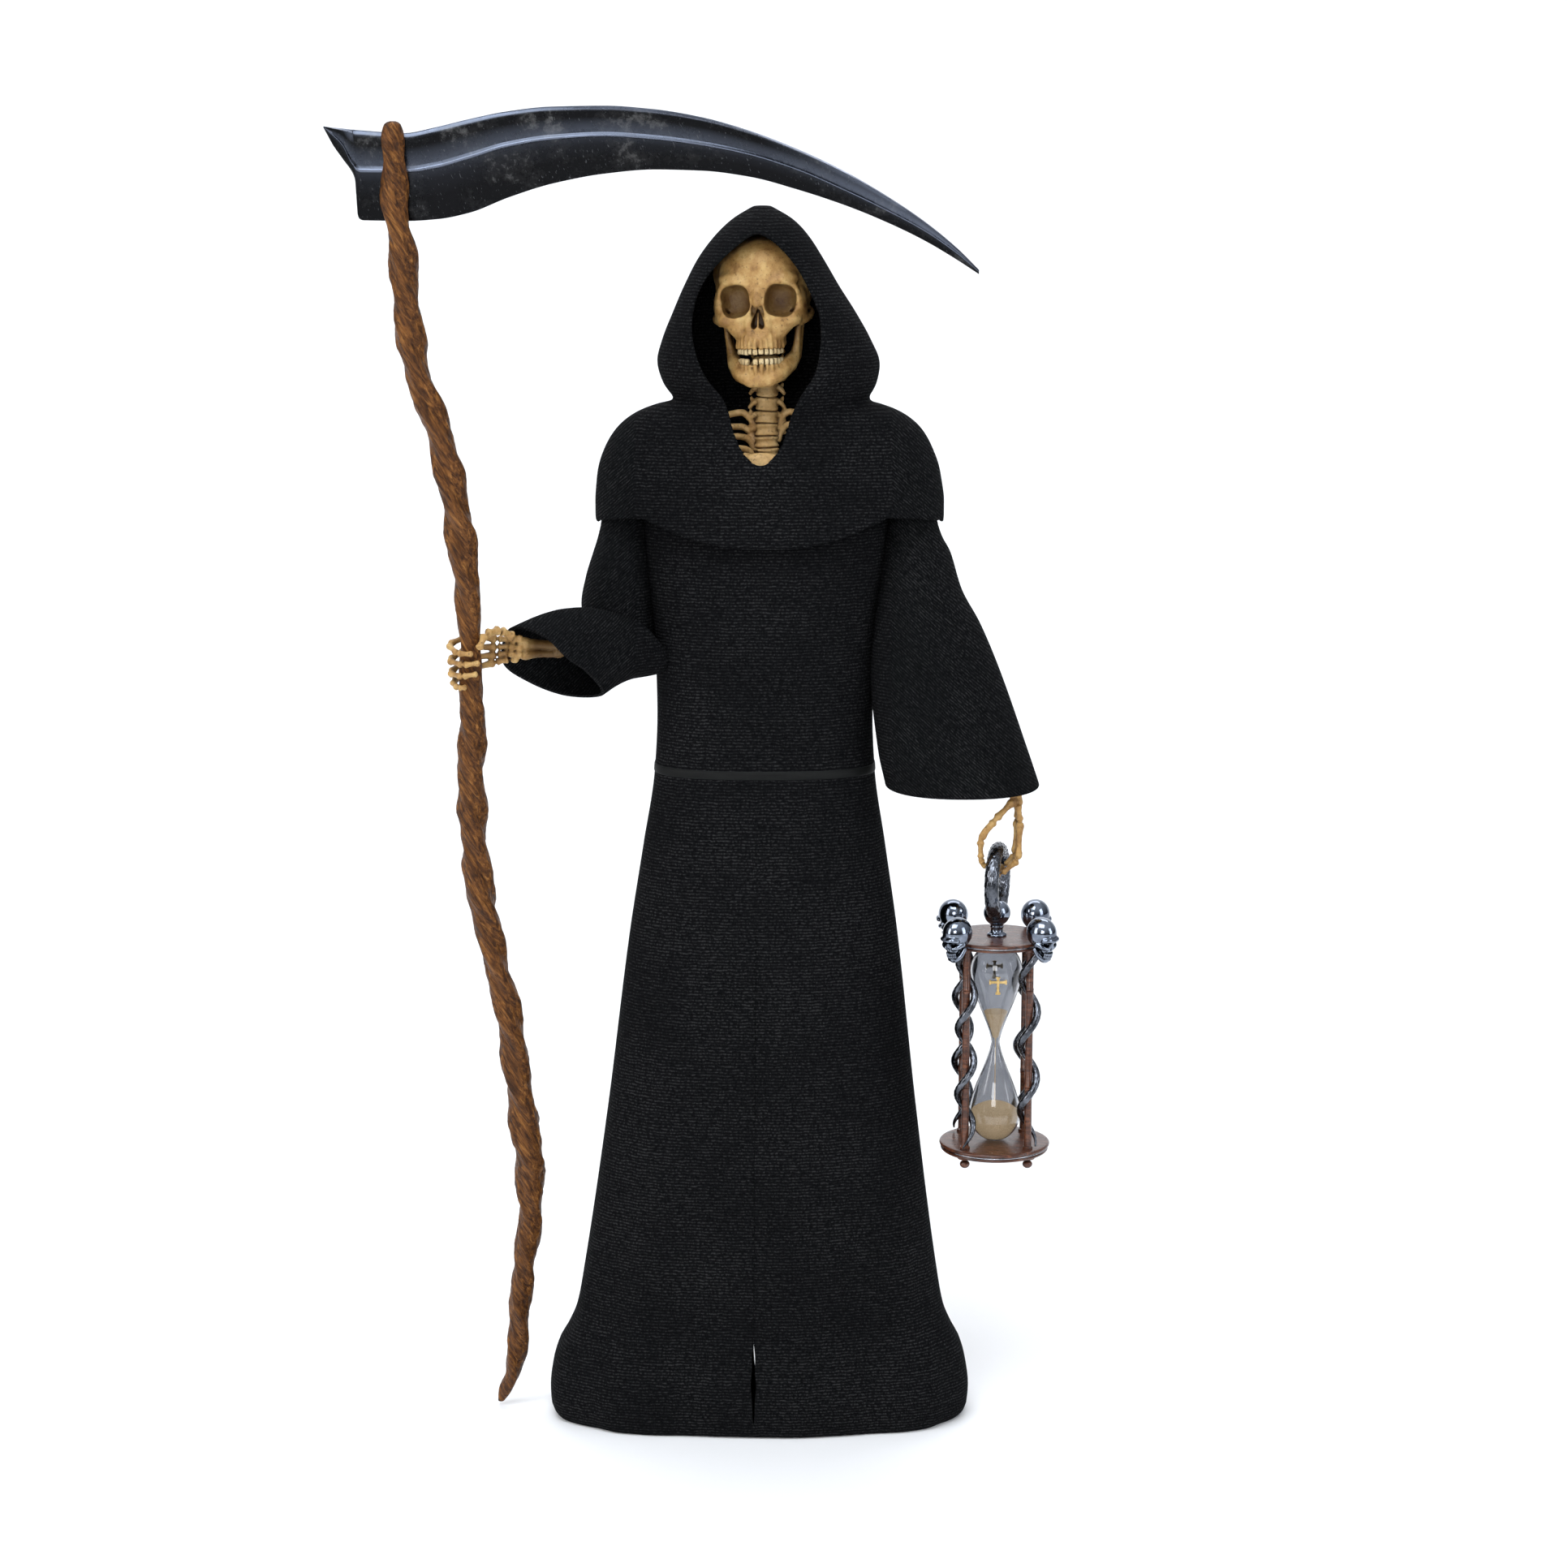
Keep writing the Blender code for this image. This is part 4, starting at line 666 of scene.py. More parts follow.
HOOD_FOLDS = (
    (((-10.5, -27, 374), (-15, -30, 384), (-23, -29, 393), (-29, -22, 403)), 3.6, 1.7),
    (((9.5, -27, 374), (15, -30, 384), (23, -29, 393), (30, -22, 404)), 3.6, 1.7),
    (((-12, -25, 371), (-22, -26, 380), (-33, -21, 388), (-38, -8, 395)), 3, -0.8),
    (((12, -25, 369), (23, -26, 377), (34, -22, 386), (40, -8, 394)), 3.2, -0.8),
    (((30, -22, 398), (33, -18, 410), (28, -20, 424)), 3.5, -0.6),
)


def make_cape(cloth):
    """Shoulder cape and hood in one shell, open at the face and below."""
    cape = cape_form("hooded_cape_cloth", 0.0)
    combine(cape, hood_form("hood", 0.0), "UNION")
    melt(cape, 0.9, 5)
    for path, width, height in HOOD_FOLDS:
        ridge(cape, path, width, height)
    combine(cape, cape_form("cape_hollow", CAPE_WALL, CAPE_HEM - 12.0), "DIFFERENCE")
    combine(cape, hood_form("hood_hollow", HOOD_WALL), "DIFFERENCE")
    combine(cape, opening_form(), "DIFFERENCE")
    melt(cape, 0.72, 3, CAPE_FACES)
    dress(cape, cloth, "hooded_cape")


# Bones

def lump(bm, middle, radii, sides=20, power=2.0, turn=None):
    """An egg-shaped lump, squarer with a higher power."""
    if not isinstance(radii, tuple):
        radii = (radii, radii, radii)
    made = bmesh.ops.create_uvsphere(bm, u_segments=sides, v_segments=sides // 2, radius=1.0)
    for point in made["verts"]:
        co = point.co
        if power != 2.0:
            size = sum(abs(c) ** power for c in co) ** (1.0 / power)
            co = co / size
        co = Vector(c * r for c, r in zip(co, radii))
        if turn is not None:
            co = turn @ co
        point.co = co + Vector(middle)


def limb(bm, points, radii, sides=14, step=0.5):
    """A round limb along points, its radius given at each point."""
    points = [Vector(p) for p in points]
    run = [0.0]
    for a, b in zip(points, points[1:]):
        run.append(run[-1] + (b - a).length)
    places = np.linspace(0.0, run[-1], max(3, int(run[-1] / step) + 1))
    line = curve_through(run, [tuple(p) for p in points], places)
    sizes = curve_through(run, [[r] for r in radii], places)[:, 0].tolist()
    ways = np.gradient(line, axis=0)
    side = Vector((0.31, 0.87, 0.22))
    loops = []
    for spot, way, size in zip(line, ways, sizes):
        way = Vector(way).normalized()
        across = way.cross(side).normalized()
        over = way.cross(across)
        loops.append([bm.verts.new(Vector(spot) + size * (across * math.cos(a) + over * math.sin(a)))
                      for a in turns(sides)])
    for low, high in zip(loops, loops[1:]):
        for i in range(sides):
            j = (i + 1) % sides
            bm.faces.new((low[i], low[j], high[j], high[i]))
    for loop, spot, way, size in ((loops[0], line[0], -ways[0], sizes[0]),
                                  (loops[-1], line[-1], ways[-1], sizes[-1])):
        tip = bm.verts.new(Vector(spot) + Vector(way).normalized() * size * 0.55)
        for i in range(sides):
            bm.faces.new((loop[i], loop[(i + 1) % sides], tip))


def long_bone(bm, start, end, shaft, knob):
    """A finger or arm bone: a waisted shaft with a swelling at each end."""
    start, end = Vector(start), Vector(end)
    line = end - start
    length = line.length
    way = line / length
    tuck = min(knob * 0.45, 0.2 * length)
    a, b = start + way * tuck, end - way * tuck
    inner = b - a
    shares = (0.0, 0.1, 0.24, 0.5, 0.76, 0.9, 1.0)
    sizes = (knob * 0.82, knob, shaft * 1.12, shaft * 0.92, shaft * 1.06, knob * 0.9, knob * 0.7)
    limb(bm, [a + inner * s for s in shares], sizes, 16, min(0.35, length / 12))


def finger(bm, points, shaft, knob):
    """Bones end to end, each a little thinner."""
    for i, (start, end) in enumerate(zip(points, points[1:])):
        less = 1.0 - 0.07 * i
        long_bone(bm, start, end, shaft * less, knob * less)


def weather(target, size, depth, seed):
    """Uneven the surface a little, as old bone is."""
    spots, ways = points_of(target)
    shift = Vector((seed * 7.3, seed * 3.1, seed * 5.7))
    lift = np.array([noise.fractal(Vector(p) / size + shift, 0.8, 2.0, 3) for p in spots])
    set_points(target, spots + ways * (lift * depth)[:, None])


# Skull

def arc(half_width, depth, middle_y, z, count, reach):
    """Points of a tooth arch, from one back end round the front to the other."""
    spots = []
    for angle in np.linspace(-math.pi * reach / 2, math.pi * reach / 2, count):
        spots.append((half_width * math.sin(angle), middle_y - depth * math.cos(angle), z))
    return spots


# Parts of the skull: lumps have one place and limbs several, then come radii and sides
SKULL_MIDDLE = (
    ((0, 2.5, 425.5), (17.6, 20.8, 18), 48),
    ((0, -7.6, 430.5), (14.8, 9.8, 11.8), 40),
    ((0, 16, 420), (12, 8, 11), 32),
    ((0, -15.6, 425.2), (3.4, 2.4, 2.6), 20),
    ((0, -2, 412), (9, 9, 6), 28),
    ((0, -12.2, 411), (7.2, 6.6, 6), 32),
    ((0, -12.4, 407), (6.9, 7, 4.4), 32),
    (((0, -17.2, 423.6), (0, -18.4, 421), (0, -19.8, 418.9)), (2.2, 1.8, 1.3), 16),
    ((0, -9.6, 395.4), (6.6, 7.6, 2.8), 24),
)
SKULL_HALF = (
    ((9, 6, 430), (10, 13, 11), 32),
    ((7.6, -12.4, 428.2), (7, 4.9, 3.6), 28),
    (((1.6, -16.4, 425.4), (4.6, -16.9, 426.8), (8.2, -16.8, 427.6), (11.6, -15.2, 426.8),
      (13.8, -13.2, 423.6), (14.3, -12.1, 419.6), (13.9, -12.4, 416.4)),
     (1.3, 1.25, 1.2, 1.25, 1.2, 1.15, 1.5), 18),
    ((11.2, -13, 413.7), (4.2, 3.8, 2.7), 28),
    ((6.6, -14.4, 411.6), (4.6, 3, 4.2), 28),
    ((4.4, -15.6, 415), (2.4, 2.2, 3.2), 20),
    (((3.4, -16.8, 415.6), (6, -16.6, 414), (9, -16, 413.8), (12, -14.4, 415.2), (13.7, -12.8, 417.4)),
     (1.1, 1.2, 1.2, 1.4, 1.3), 18),
    (((1.9, -17.2, 423.6), (2.4, -17.8, 420), (3.3, -17.8, 415.8), (3.6, -17.4, 412), (3, -17.2, 409)),
     (1.1, 1, 1.1, 1.3, 1.5), 16),
    (((10.6, -13.4, 412.4), (8.6, -13.6, 409.6), (6.8, -13.6, 407.4)), (2.2, 1.8, 1.6), 16),
    ((14.4, -8.6, 418.4), (2.4, 5.4, 7.4), 24),
    (((13, -12, 414.2), (15.8, -8.4, 413.6), (17.1, -3.6, 414.6), (16.8, 1.6, 415.6), (15.6, 5, 416.2)),
     (2, 1.6, 1.25, 1.3, 1.6), 16),
    (((4.2, -17.4, 393.1), (7, -15.4, 394.2), (9, -11.8, 396), (10.6, -7.4, 398.2),
      (11.4, -4.2, 400.4)), (2.5, 2.5, 2.4, 2.3, 2.1), 18),
    (((7.6, -13.4, 397), (9.4, -9, 399), (11, -5, 401)), (2, 2, 1.8), 16),
    (((11.5, -3.6, 400), (12.5, -2.4, 406), (13.2, -0.4, 412.6)), (2.2, 1.6, 1.5), 18),
    (((11.5, -5.4, 401), (12.4, -6.2, 406), (13, -6.2, 411.4)), (1.8, 1.3, 1.1), 16),
    ((3.2, -18, 391.9), (2.5, 1.9, 1.9), 20),
)
# Tooth arches of the jaws: half width, depth, middle, height, radius and reach
SKULL_ARCHES = (
    (7.5, 9.8, -8.0, 405.4, 1.65, 1.0), (7.4, 9.2, -8.4, 407.6, 1.8, 1.0),
    (7.3, 9.3, -8.2, 396.3, 1.65, 1.0), (7.0, 8.9, -8.6, 394.6, 1.8, 0.8),
)


def add_parts(bm, parts, side):
    """Add lumps and limbs, those of the right half mirrored by a side of -1."""
    for places, radii, sides in parts:
        if isinstance(places[0], tuple):
            limb(bm, [(side * x, y, z) for x, y, z in places], radii, sides)
        else:
            lump(bm, (side * places[0], *places[1:]), radii, sides)


def skull_mass(bm):
    """Brain case, face bones and jaw, as overlapping lumps."""
    add_parts(bm, SKULL_MIDDLE, 1)
    for s in (-1, 1):
        add_parts(bm, SKULL_HALF, s)
    for half_width, depth, middle_y, z, radius, reach in SKULL_ARCHES:
        limb(bm, arc(half_width, depth, middle_y, z, 13, reach), (radius,) * 13, 16)
    lump(bm, (0, -18.0, 392.4), (4.4, 2.4, 2.6), 24)


NOSE_HEIGHT = 414.4
NOSE_OUTLINE = (
    (0, 418.3), (0.8, 417.2), (1.45, 415.6), (2.05, 413.8), (2.45, 412.2), (2.3, 411.1), (1.5, 410.6),
    (0.6, 411), (0, 411.7),
)


def skull_holes():
    """Eye sockets, nose, temples and throat."""
    bm = bmesh.new()
    for s in (-1, 1):
        tilt = Matrix.Rotation(s * math.radians(9.0), 3, "Y")
        lump(bm, (s * 8.15, -16.8, 420.5), (5.55, 7.6, 5.75), 36, 2.8, tilt)
        lump(bm, (s * 23.4, -7.6, 421.5), (5.3, 7.4, 6.4), 28)
    lump(bm, (0, -3.0, 396.5), (7.6, 9.6, 8.0), 28)
    left = [(-x, z) for x, z in NOSE_OUTLINE[-2:0:-1]]
    x, z = smooth_loop([*NOSE_OUTLINE, *left], 3).T
    rows = [ring_at(x * wide, y, NOSE_HEIGHT + (z - NOSE_HEIGHT) * wide)
            for y, wide in ((-26.0, 1.06), (-18.0, 1.0), (-13.6, 0.8))]
    holes = from_bmesh("skull_holes", bm)
    return join("skull_holes", [holes, loft("nose_hole", rows)])


def tooth(bm, spot, out, wide, deep, tall, up):
    """One tooth: a rounded block that narrows into its root."""
    out = Vector((out[0], out[1], 0.0)).normalized()
    side = Vector((out.y, -out.x, 0.0))
    turn = Matrix((side, out, Vector((0, 0, 1)))).transposed()
    made = bmesh.ops.create_uvsphere(bm, u_segments=14, v_segments=10, radius=1.0)
    for point in made["verts"]:
        co = point.co
        size = sum(abs(c) ** 3.4 for c in co) ** (1 / 3.4)
        co = co / size
        taper = 1.0 - 0.16 * (co.z * up + 1.0) / 2
        co = Vector((co.x * wide / 2 * taper, co.y * deep / 2 * taper, co.z * tall / 2))
        point.co = turn @ co + Vector(spot)


TOOTH_SIZES = (2.2, 1.8, 1.95, 1.85, 2.0, 2.2)


def teeth(half_width, depth, middle_y, z, tall, up, gaps=()):
    """A row of twelve teeth along an arch, and the ridges of their roots."""
    bm = bmesh.new()
    roots = bmesh.new()
    line = smooth_path(arc(half_width, depth, middle_y, z, 25, 1.0), 0.05)
    run = running(line)
    middle = run[-1] / 2
    for s in (-1, 1):
        at = 0.0
        for k, size in enumerate(TOOTH_SIZES):
            size = size * 0.93
            place = middle + s * (at + size / 2)
            at += size + 0.03
            spot = np.array([np.interp(place, run, line[:, c]) for c in range(3)])
            ahead = np.array([np.interp(place + 0.2, run, line[:, c]) for c in range(3)])
            along = (ahead - spot)[:2]
            out = (along[1], -along[0])
            if out[1] > 0 and k < 3:
                out = (-out[0], -out[1])
            away = Vector((out[0], out[1], 0)).normalized()
            if (spot[0] * away.x) < 0 and k > 1:
                away = -away
            tip = 0.12 * math.sin(k * 2.4 + s)
            if (s, k) not in gaps:
                tooth(bm, (spot[0], spot[1], z + tip), (away.x, away.y), size, 1.9,
                      tall * (1.06 if k == 2 else 1.0), up)
            root = Vector(spot) + away * 0.78
            long = 4.6 if k > 1 else 3.2
            limb(roots, [root + Vector((0, 0, up * tall * 0.42)),
                         root + Vector((-away.x * 0.4, -away.y * 0.4, up * (tall * 0.5 + long)))],
                 (size * 0.44, size * 0.28), 10, 0.4)
    return bm, roots


def turn_skull(target):
    """Turn and tilt the skull as it sits in the hood."""
    place = Matrix.Translation((SKULL_PLACE[0] * MM, SKULL_PLACE[1] * MM, 0.0))
    middle = Matrix.Translation((0.0, 0.0, SKULL_PIVOT * MM))
    tilt = middle @ Matrix.Rotation(SKULL_TILT, 4, "Y") @ middle.inverted()
    target.data.transform(place @ Matrix.Rotation(SKULL_TURN, 4, "Z") @ tilt)


def make_skull(bone, enamel):
    """The skull with jaw and teeth."""
    upper, upper_roots = teeth(8.1, 10.7, -8.4, 402.8, 2.25, 1, ())
    lower, lower_roots = teeth(7.8, 10.3, -8.6, 399.1, 2.4, -1, ((-1, 1),))
    bm = bmesh.new()
    skull_mass(bm)
    base = from_bmesh("skull_bone", bm)
    melt(base, 0.42, 8)
    roots = join("roots", [from_bmesh("upper_roots", upper_roots),
                           from_bmesh("lower_roots", lower_roots)])
    base = join("skull_bone", [base, roots])
    melt(base, 0.36, 1)
    combine(base, skull_holes(), "DIFFERENCE")
    septum = bmesh.new()
    limb(septum, [(0.0, -17.6, 410.6), (0.0, -16.8, 413.4), (0.0, -15.4, 416.4)],
         (0.5, 0.42, 0.5), 10, 0.3)
    base = join("skull_bone", [base, from_bmesh("septum", septum)])
    melt(base, 0.32, 2, SKULL_FACES)
    weather(base, 3.0, 0.10, 1)
    weather(base, 0.9, 0.05, 2)
    turn_skull(base)
    crowns = join("skull_teeth", [from_bmesh("upper_teeth", upper),
                                  from_bmesh("lower_teeth", lower)])
    turn_skull(crowns)
    dress(base, bone, "skull")
    dress(crowns, enamel, "skull")


# Neck

DISC_HEIGHTS = (
    358.4, 363, 367.5, 371.7, 376.3, 380.7, 385.7, 390.8, 395.8, 400.8, 405.6,
)
VERTEBRA_PROFILE = (
    (0.02, 0.84), (0.05, 0.95), (0.1, 1.02), (0.18, 1.04), (0.27, 1), (0.37, 0.93), (0.5, 0.895),
    (0.63, 0.93), (0.73, 1), (0.82, 1.04), (0.9, 1.02), (0.95, 0.95), (0.98, 0.84),
)
RIBS = (
    ((-2.4, -0.5, 373.6), (-4.6, 0.2, 377.6), (-8, 0, 380), (-12, -2, 379.4), (-16, -6, 376.4)),
    ((-2.6, -0.5, 369.6), (-4.8, 0.2, 373), (-7.6, 0, 374.8), (-11.4, -2.5, 375), (-15.6, -7, 372.4)),
    ((-2.8, -0.5, 366.4), (-4.6, -0.6, 369.6), (-7, -1.6, 371.2), (-10.4, -4, 371.6), (-14.4, -8, 369)),
    ((-3.4, -4, 364), (-5.4, -5, 366.6), (-8.4, -7, 367.6), (-12, -10, 366)),
    ((5, -0.5, 374.6), (6.6, 0, 378.4), (9.8, -0.8, 380.4), (14.4, -4.4, 379)),
    ((5, -0.5, 369.8), (6.6, -0.4, 373.8), (9.2, -1.6, 375.8), (13.6, -5.4, 375)),
)


def make_neck(bone):
    """Neck bones, the first ribs and the top of the breastbone."""
    bm = bmesh.new()
    column = []
    for k, (low, high) in enumerate(zip(DISC_HEIGHTS, DISC_HEIGHTS[1:])):
        share = k / (len(DISC_HEIGHTS) - 2)
        z, tall = (low + high) / 2, high - low
        x = 1.1 + 0.5 * share
        wide = 4.6 - 1.1 * share
        for at, size in VERTEBRA_PROFILE:
            spin = turns(56)
            across, deep = rounded(spin, wide * size, 4.3 * size, 2.3)
            height = low + tall * at + 0.18 * np.cos(spin * 2 + k)
            column.append(ring_at(x + across, deep - 0.6, height))
        if z > 373.0:
            for s in (-1, 1):
                limb(bm, [(x + s * 2.6, -1.2, z + 1.4), (x + s * (wide + 0.8), -1.0, z + 0.4),
                          (x + s * (wide + 2.4), 0.4, z - 1.6)], (1.3, 1.0, 0.7), 12)
                limb(bm, [(x + s * 2.4, -0.6, z - 0.6), (x + s * (wide + 1.4), 0.2, z + 1.4),
                          (x + s * (wide + 1.8), 0.4, z + 2.4)], (1.2, 0.8, 0.5), 12)
    for line in RIBS:
        limb(bm, line, np.linspace(1.35, 1.15, len(line)).tolist(), 14)
    lump(bm, (-0.3, -14.6, 361.6), (7.4, 2.6, 5.0), 32, 2.4)
    limb(bm, [(-6.8, -13.0, 365.0), (-3.4, -9.0, 364.0), (-0.4, -4.0, 363.4)], (1.6, 1.6, 2.4), 14)
    limb(bm, [(-0.3, -15.0, 359.2), (-0.3, 3.0, 359.2)], (1.8, 1.8), 14)
    neck = from_bmesh("neck_bones", bm)
    melt(neck, 0.32, 2, NECK_FACES)
    combine(neck, loft("vertebrae", column), "UNION")
    crisp(neck, 75.0)
    weather(neck, 2.2, 0.08, 3)
    dress(neck, bone, "neck_and_ribs")


# Hands

RIGHT_FINGERS = (
    ((-94, -38.4, 302.6), (-104.3, -39.6, 304.2), (-110.8, -46, 301.6), (-107.2, -52.6, 299.4),
     (-101.2, -53.6, 299.4)),
    ((-94.2, -38, 299.6), (-104.4, -39.4, 300), (-110.8, -46, 296), (-105.2, -52.9, 295.4),
     (-98.8, -53, 296.1)),
    ((-94.4, -37.9, 297), (-104.4, -39.2, 296), (-110.7, -45.8, 291.5), (-105.6, -52.4, 291.2),
     (-99.8, -52.4, 292.3)),
    ((-94.8, -38.4, 294.4), (-104.2, -39.2, 291.8), (-109.6, -45.2, 288.4), (-107.4, -50.8, 286.9),
     (-103.9, -51.9, 287.4)),
)
RIGHT_PALM = (
    ((-89.4, -37.4, 302.2), (-94.4, -38.4, 302.8)), ((-89.6, -37.2, 300), (-94.6, -38, 299.7)),
    ((-89.6, -37.2, 297.6), (-94.8, -37.9, 297)), ((-90, -37.6, 295.4), (-95.2, -38.2, 294.2)),
)
RIGHT_THUMB = (
    (-88.2, -41, 303.6), (-92.6, -45.4, 306.8), (-97.2, -50.8, 306.3), (-99.6, -53.6, 300.6),
)
RIGHT_CARPALS = (
    ((-88.6, -38.6, 302.7), (1.7, 1.7, 1.5)), ((-86.4, -38, 302.4), (1.5, 1.7, 1.6)),
    ((-88.9, -38.8, 299.9), (1.5, 1.7, 1.4)), ((-86.5, -38.2, 299.4), (1.5, 1.7, 1.5)),
    ((-89.2, -38.5, 297.4), (1.5, 1.7, 1.3)), ((-86.7, -37.8, 296.9), (1.6, 1.7, 1.4)),
    ((-88.2, -38.1, 295.2), (1.5, 1.6, 1.2)),
)
RIGHT_RADIUS_BONE = ((-87.2, -37.8, 301.0), (-70.5, -29.6, 299.0))
RIGHT_ULNA = ((-86.8, -37.2, 296.9), (-70.8, -29.0, 296.4))


LEFT_FINGERS = (
    ((93.4, -22.4, 233.6), (92.8, -23.6, 219.4), (86.6, -23.6, 214.2), (82.4, -22.6, 213)),
    ((92.4, -19.6, 234), (91.6, -20.2, 220.8), (88, -20.2, 216.6), (85.8, -20.2, 214.4)),
    ((92.8, -16.8, 234), (92.4, -16.6, 219.6), (88.4, -16.6, 215.8), (84.6, -16.6, 214.2)),
    ((93.4, -14, 234), (93, -13.2, 219), (88.6, -13.2, 215.2), (84.8, -13.4, 213.6)),
)
LEFT_PALM = (
    ((92.4, -21.6, 240), (93.4, -22.4, 233.2)), ((92.2, -19.6, 240.4), (92.4, -19.8, 233.8)),
    ((92.4, -17.6, 240.4), (92.8, -17, 233.8)), ((92.8, -15.8, 240.2), (93.4, -14.4, 233.8)),
)
LEFT_THUMB = (
    (91, -22, 241.2), (84, -25, 234.6), (78.8, -25.9, 227.4), (79, -25.2, 220), (80.8, -24.2, 216.9),
)
LEFT_CARPALS = (
    ((90.4, -21.8, 243.4), (1.5, 1.6, 1.5)), ((92.6, -21, 243), (1.4, 1.6, 1.5)),
    ((90.6, -21.8, 240.6), (1.5, 1.6, 1.4)), ((93, -20.6, 240.4), (1.4, 1.6, 1.5)),
    ((91, -18.6, 243.6), (1.6, 1.6, 1.6)), ((92.8, -17.8, 240.8), (1.6, 1.6, 1.6)),
    ((92.6, -16.8, 243.6), (1.5, 1.6, 1.5)),
)
LEFT_RADIUS_BONE = ((90.0, -20.6, 246.2), (88.2, -18.4, 262.0))
LEFT_ULNA = ((93.0, -18.4, 246.2), (89.8, -16.6, 262.0))


def make_hand(name, bone, fingers, palm, thumb, carpals, bars, long_bones, wrist, room, seed):
    """Finger, palm, wrist and arm bones fused to one hand, with room for what it holds."""
    bm = bmesh.new()
    lines, shaft, knob = fingers
    for line in lines:
        finger(bm, line, shaft, knob)
    for start, end in palm:
        long_bone(bm, start, end, 1.05, 1.5)
    finger(bm, *thumb)
    for place, radii in carpals:
        lump(bm, place, radii, 16, 2.4)
    for bar in bars:
        limb(bm, *bar)
    for bone_line, shaft, knob in long_bones:
        long_bone(bm, *bone_line, shaft, knob)
    limb(bm, wrist, (1.9, 1.9), 14)
    hand = from_bmesh(name + "_bones", bm)
    melt(hand, 0.26, 2, HAND_FACES)
    combine(hand, room, "DIFFERENCE")
    weather(hand, 1.4, 0.09, seed)
    dress(hand, bone, name)


def make_hands(right_bone, left_bone):
    """The raised hand round the staff, and the lowered hand hooked through the ring."""
    bars = [([(-89.0, -37.0, 301.5), (-88.6, -36.8, 295.8)], (1.0, 1.0), 10),
            ([(-86.6, -36.6, 301.6), (-86.4, -36.2, 296.6)], (1.1, 1.1), 10),
            ([(-88.8, -36.9, 299.0), (-84.6, -36.2, 299.0)], (1.2, 1.2), 10)]
    make_hand("right_hand", right_bone, (RIGHT_FINGERS, 1.15, 1.65), RIGHT_PALM,
              (RIGHT_THUMB, 1.35, 2.0), RIGHT_CARPALS, bars,
              [(RIGHT_RADIUS_BONE, 1.75, 2.5), (RIGHT_ULNA, 1.5, 2.1)],
              [(-74.5, -31.5, 297.6), (-66.0, -27.5, 296.4)],
              staff_form("staff_room", 0.15, 24, 3.0), 4)
    bars = [(LEFT_THUMB, (0.95,) * 5, 12), ([(91.6, -19.6, 244.8), (92.2, -19.0, 239.4)], (1.7, 1.7), 12)]
    make_hand("left_hand", left_bone, (LEFT_FINGERS, 1.0, 1.5), LEFT_PALM,
              (LEFT_THUMB, 1.15, 1.7), LEFT_CARPALS, bars,
              [(LEFT_RADIUS_BONE, 1.2, 2.1), (LEFT_ULNA, 1.05, 1.8)],
              [(89.0, -17.6, 258.0), (88.0, -17.0, 268.0)],
              ring_form("ring_room", 0.12, 60, 20), 5)


# Scythe

def lean_y(z):
    """Y of the scythe's leaning middle plane at a height."""
    return LEAN_Y - (z - LEAN_Z) * LEAN


def staff_form(name, outward=0.0, sides=STAFF_SIDES, step=STAFF_STEP):
    """The gnarled staff with twisting ridges, knots and hollows."""
    rows = np.array([(z, x, r) for x, z, r in STAFF_POINTS])
    heights = np.arange(rows[0, 0], rows[-1, 0], step)
    angles = turns(sides)
    rings = []
    for z, (x, radius) in zip(heights, table_at(rows, heights)):
        twist = angles + 0.13 * z
        wave = 0.105 * np.cos(2 * twist) + 0.070 * np.cos(3 * (angles + 0.075 * z) + 1.3)
        wave += 0.045 * np.cos(5 * (angles + 0.10 * z) + 0.4)
        wave += 0.022 * np.cos(9 * (angles + 0.12 * z) + 2.0 * math.sin(z * 0.05))
        wave += 0.030 * np.cos(2 * angles + z * 0.36) * math.cos(z * 0.21)
        for k, angle in enumerate(angles):
            spot = Vector((math.cos(angle) * 1.3, math.sin(angle) * 1.3, z / 7.5))
            wave[k] += 0.10 * noise.noise(spot) + 0.05 * noise.noise(spot * 2.6)
        reach = radius * (1.0 + wave) + outward
        rings.append(ring_at(x + reach * np.cos(angles), lean_y(z) + reach * np.sin(angles), z))

    def end_ring(ring, share, shift):
        return ring.mean(0) + (ring - ring.mean(0)) * share + np.array(shift)

    rings.insert(0, end_ring(rings[0], 0.5, (0, 0, -0.3)))
    top = rings[-1]
    for share in (0.85, 0.6, 0.3):
        rise = STAFF_DOME * math.sqrt(1 - share * share)
        rings.append(end_ring(top, share, (0, -rise * LEAN, rise)))
    return loft(name, rings)


def rib_line(tall):
    """Half the height of the rib's flat line, for the blade's height there."""
    return np.clip(0.12, 0.010 * tall, 0.025 * tall)


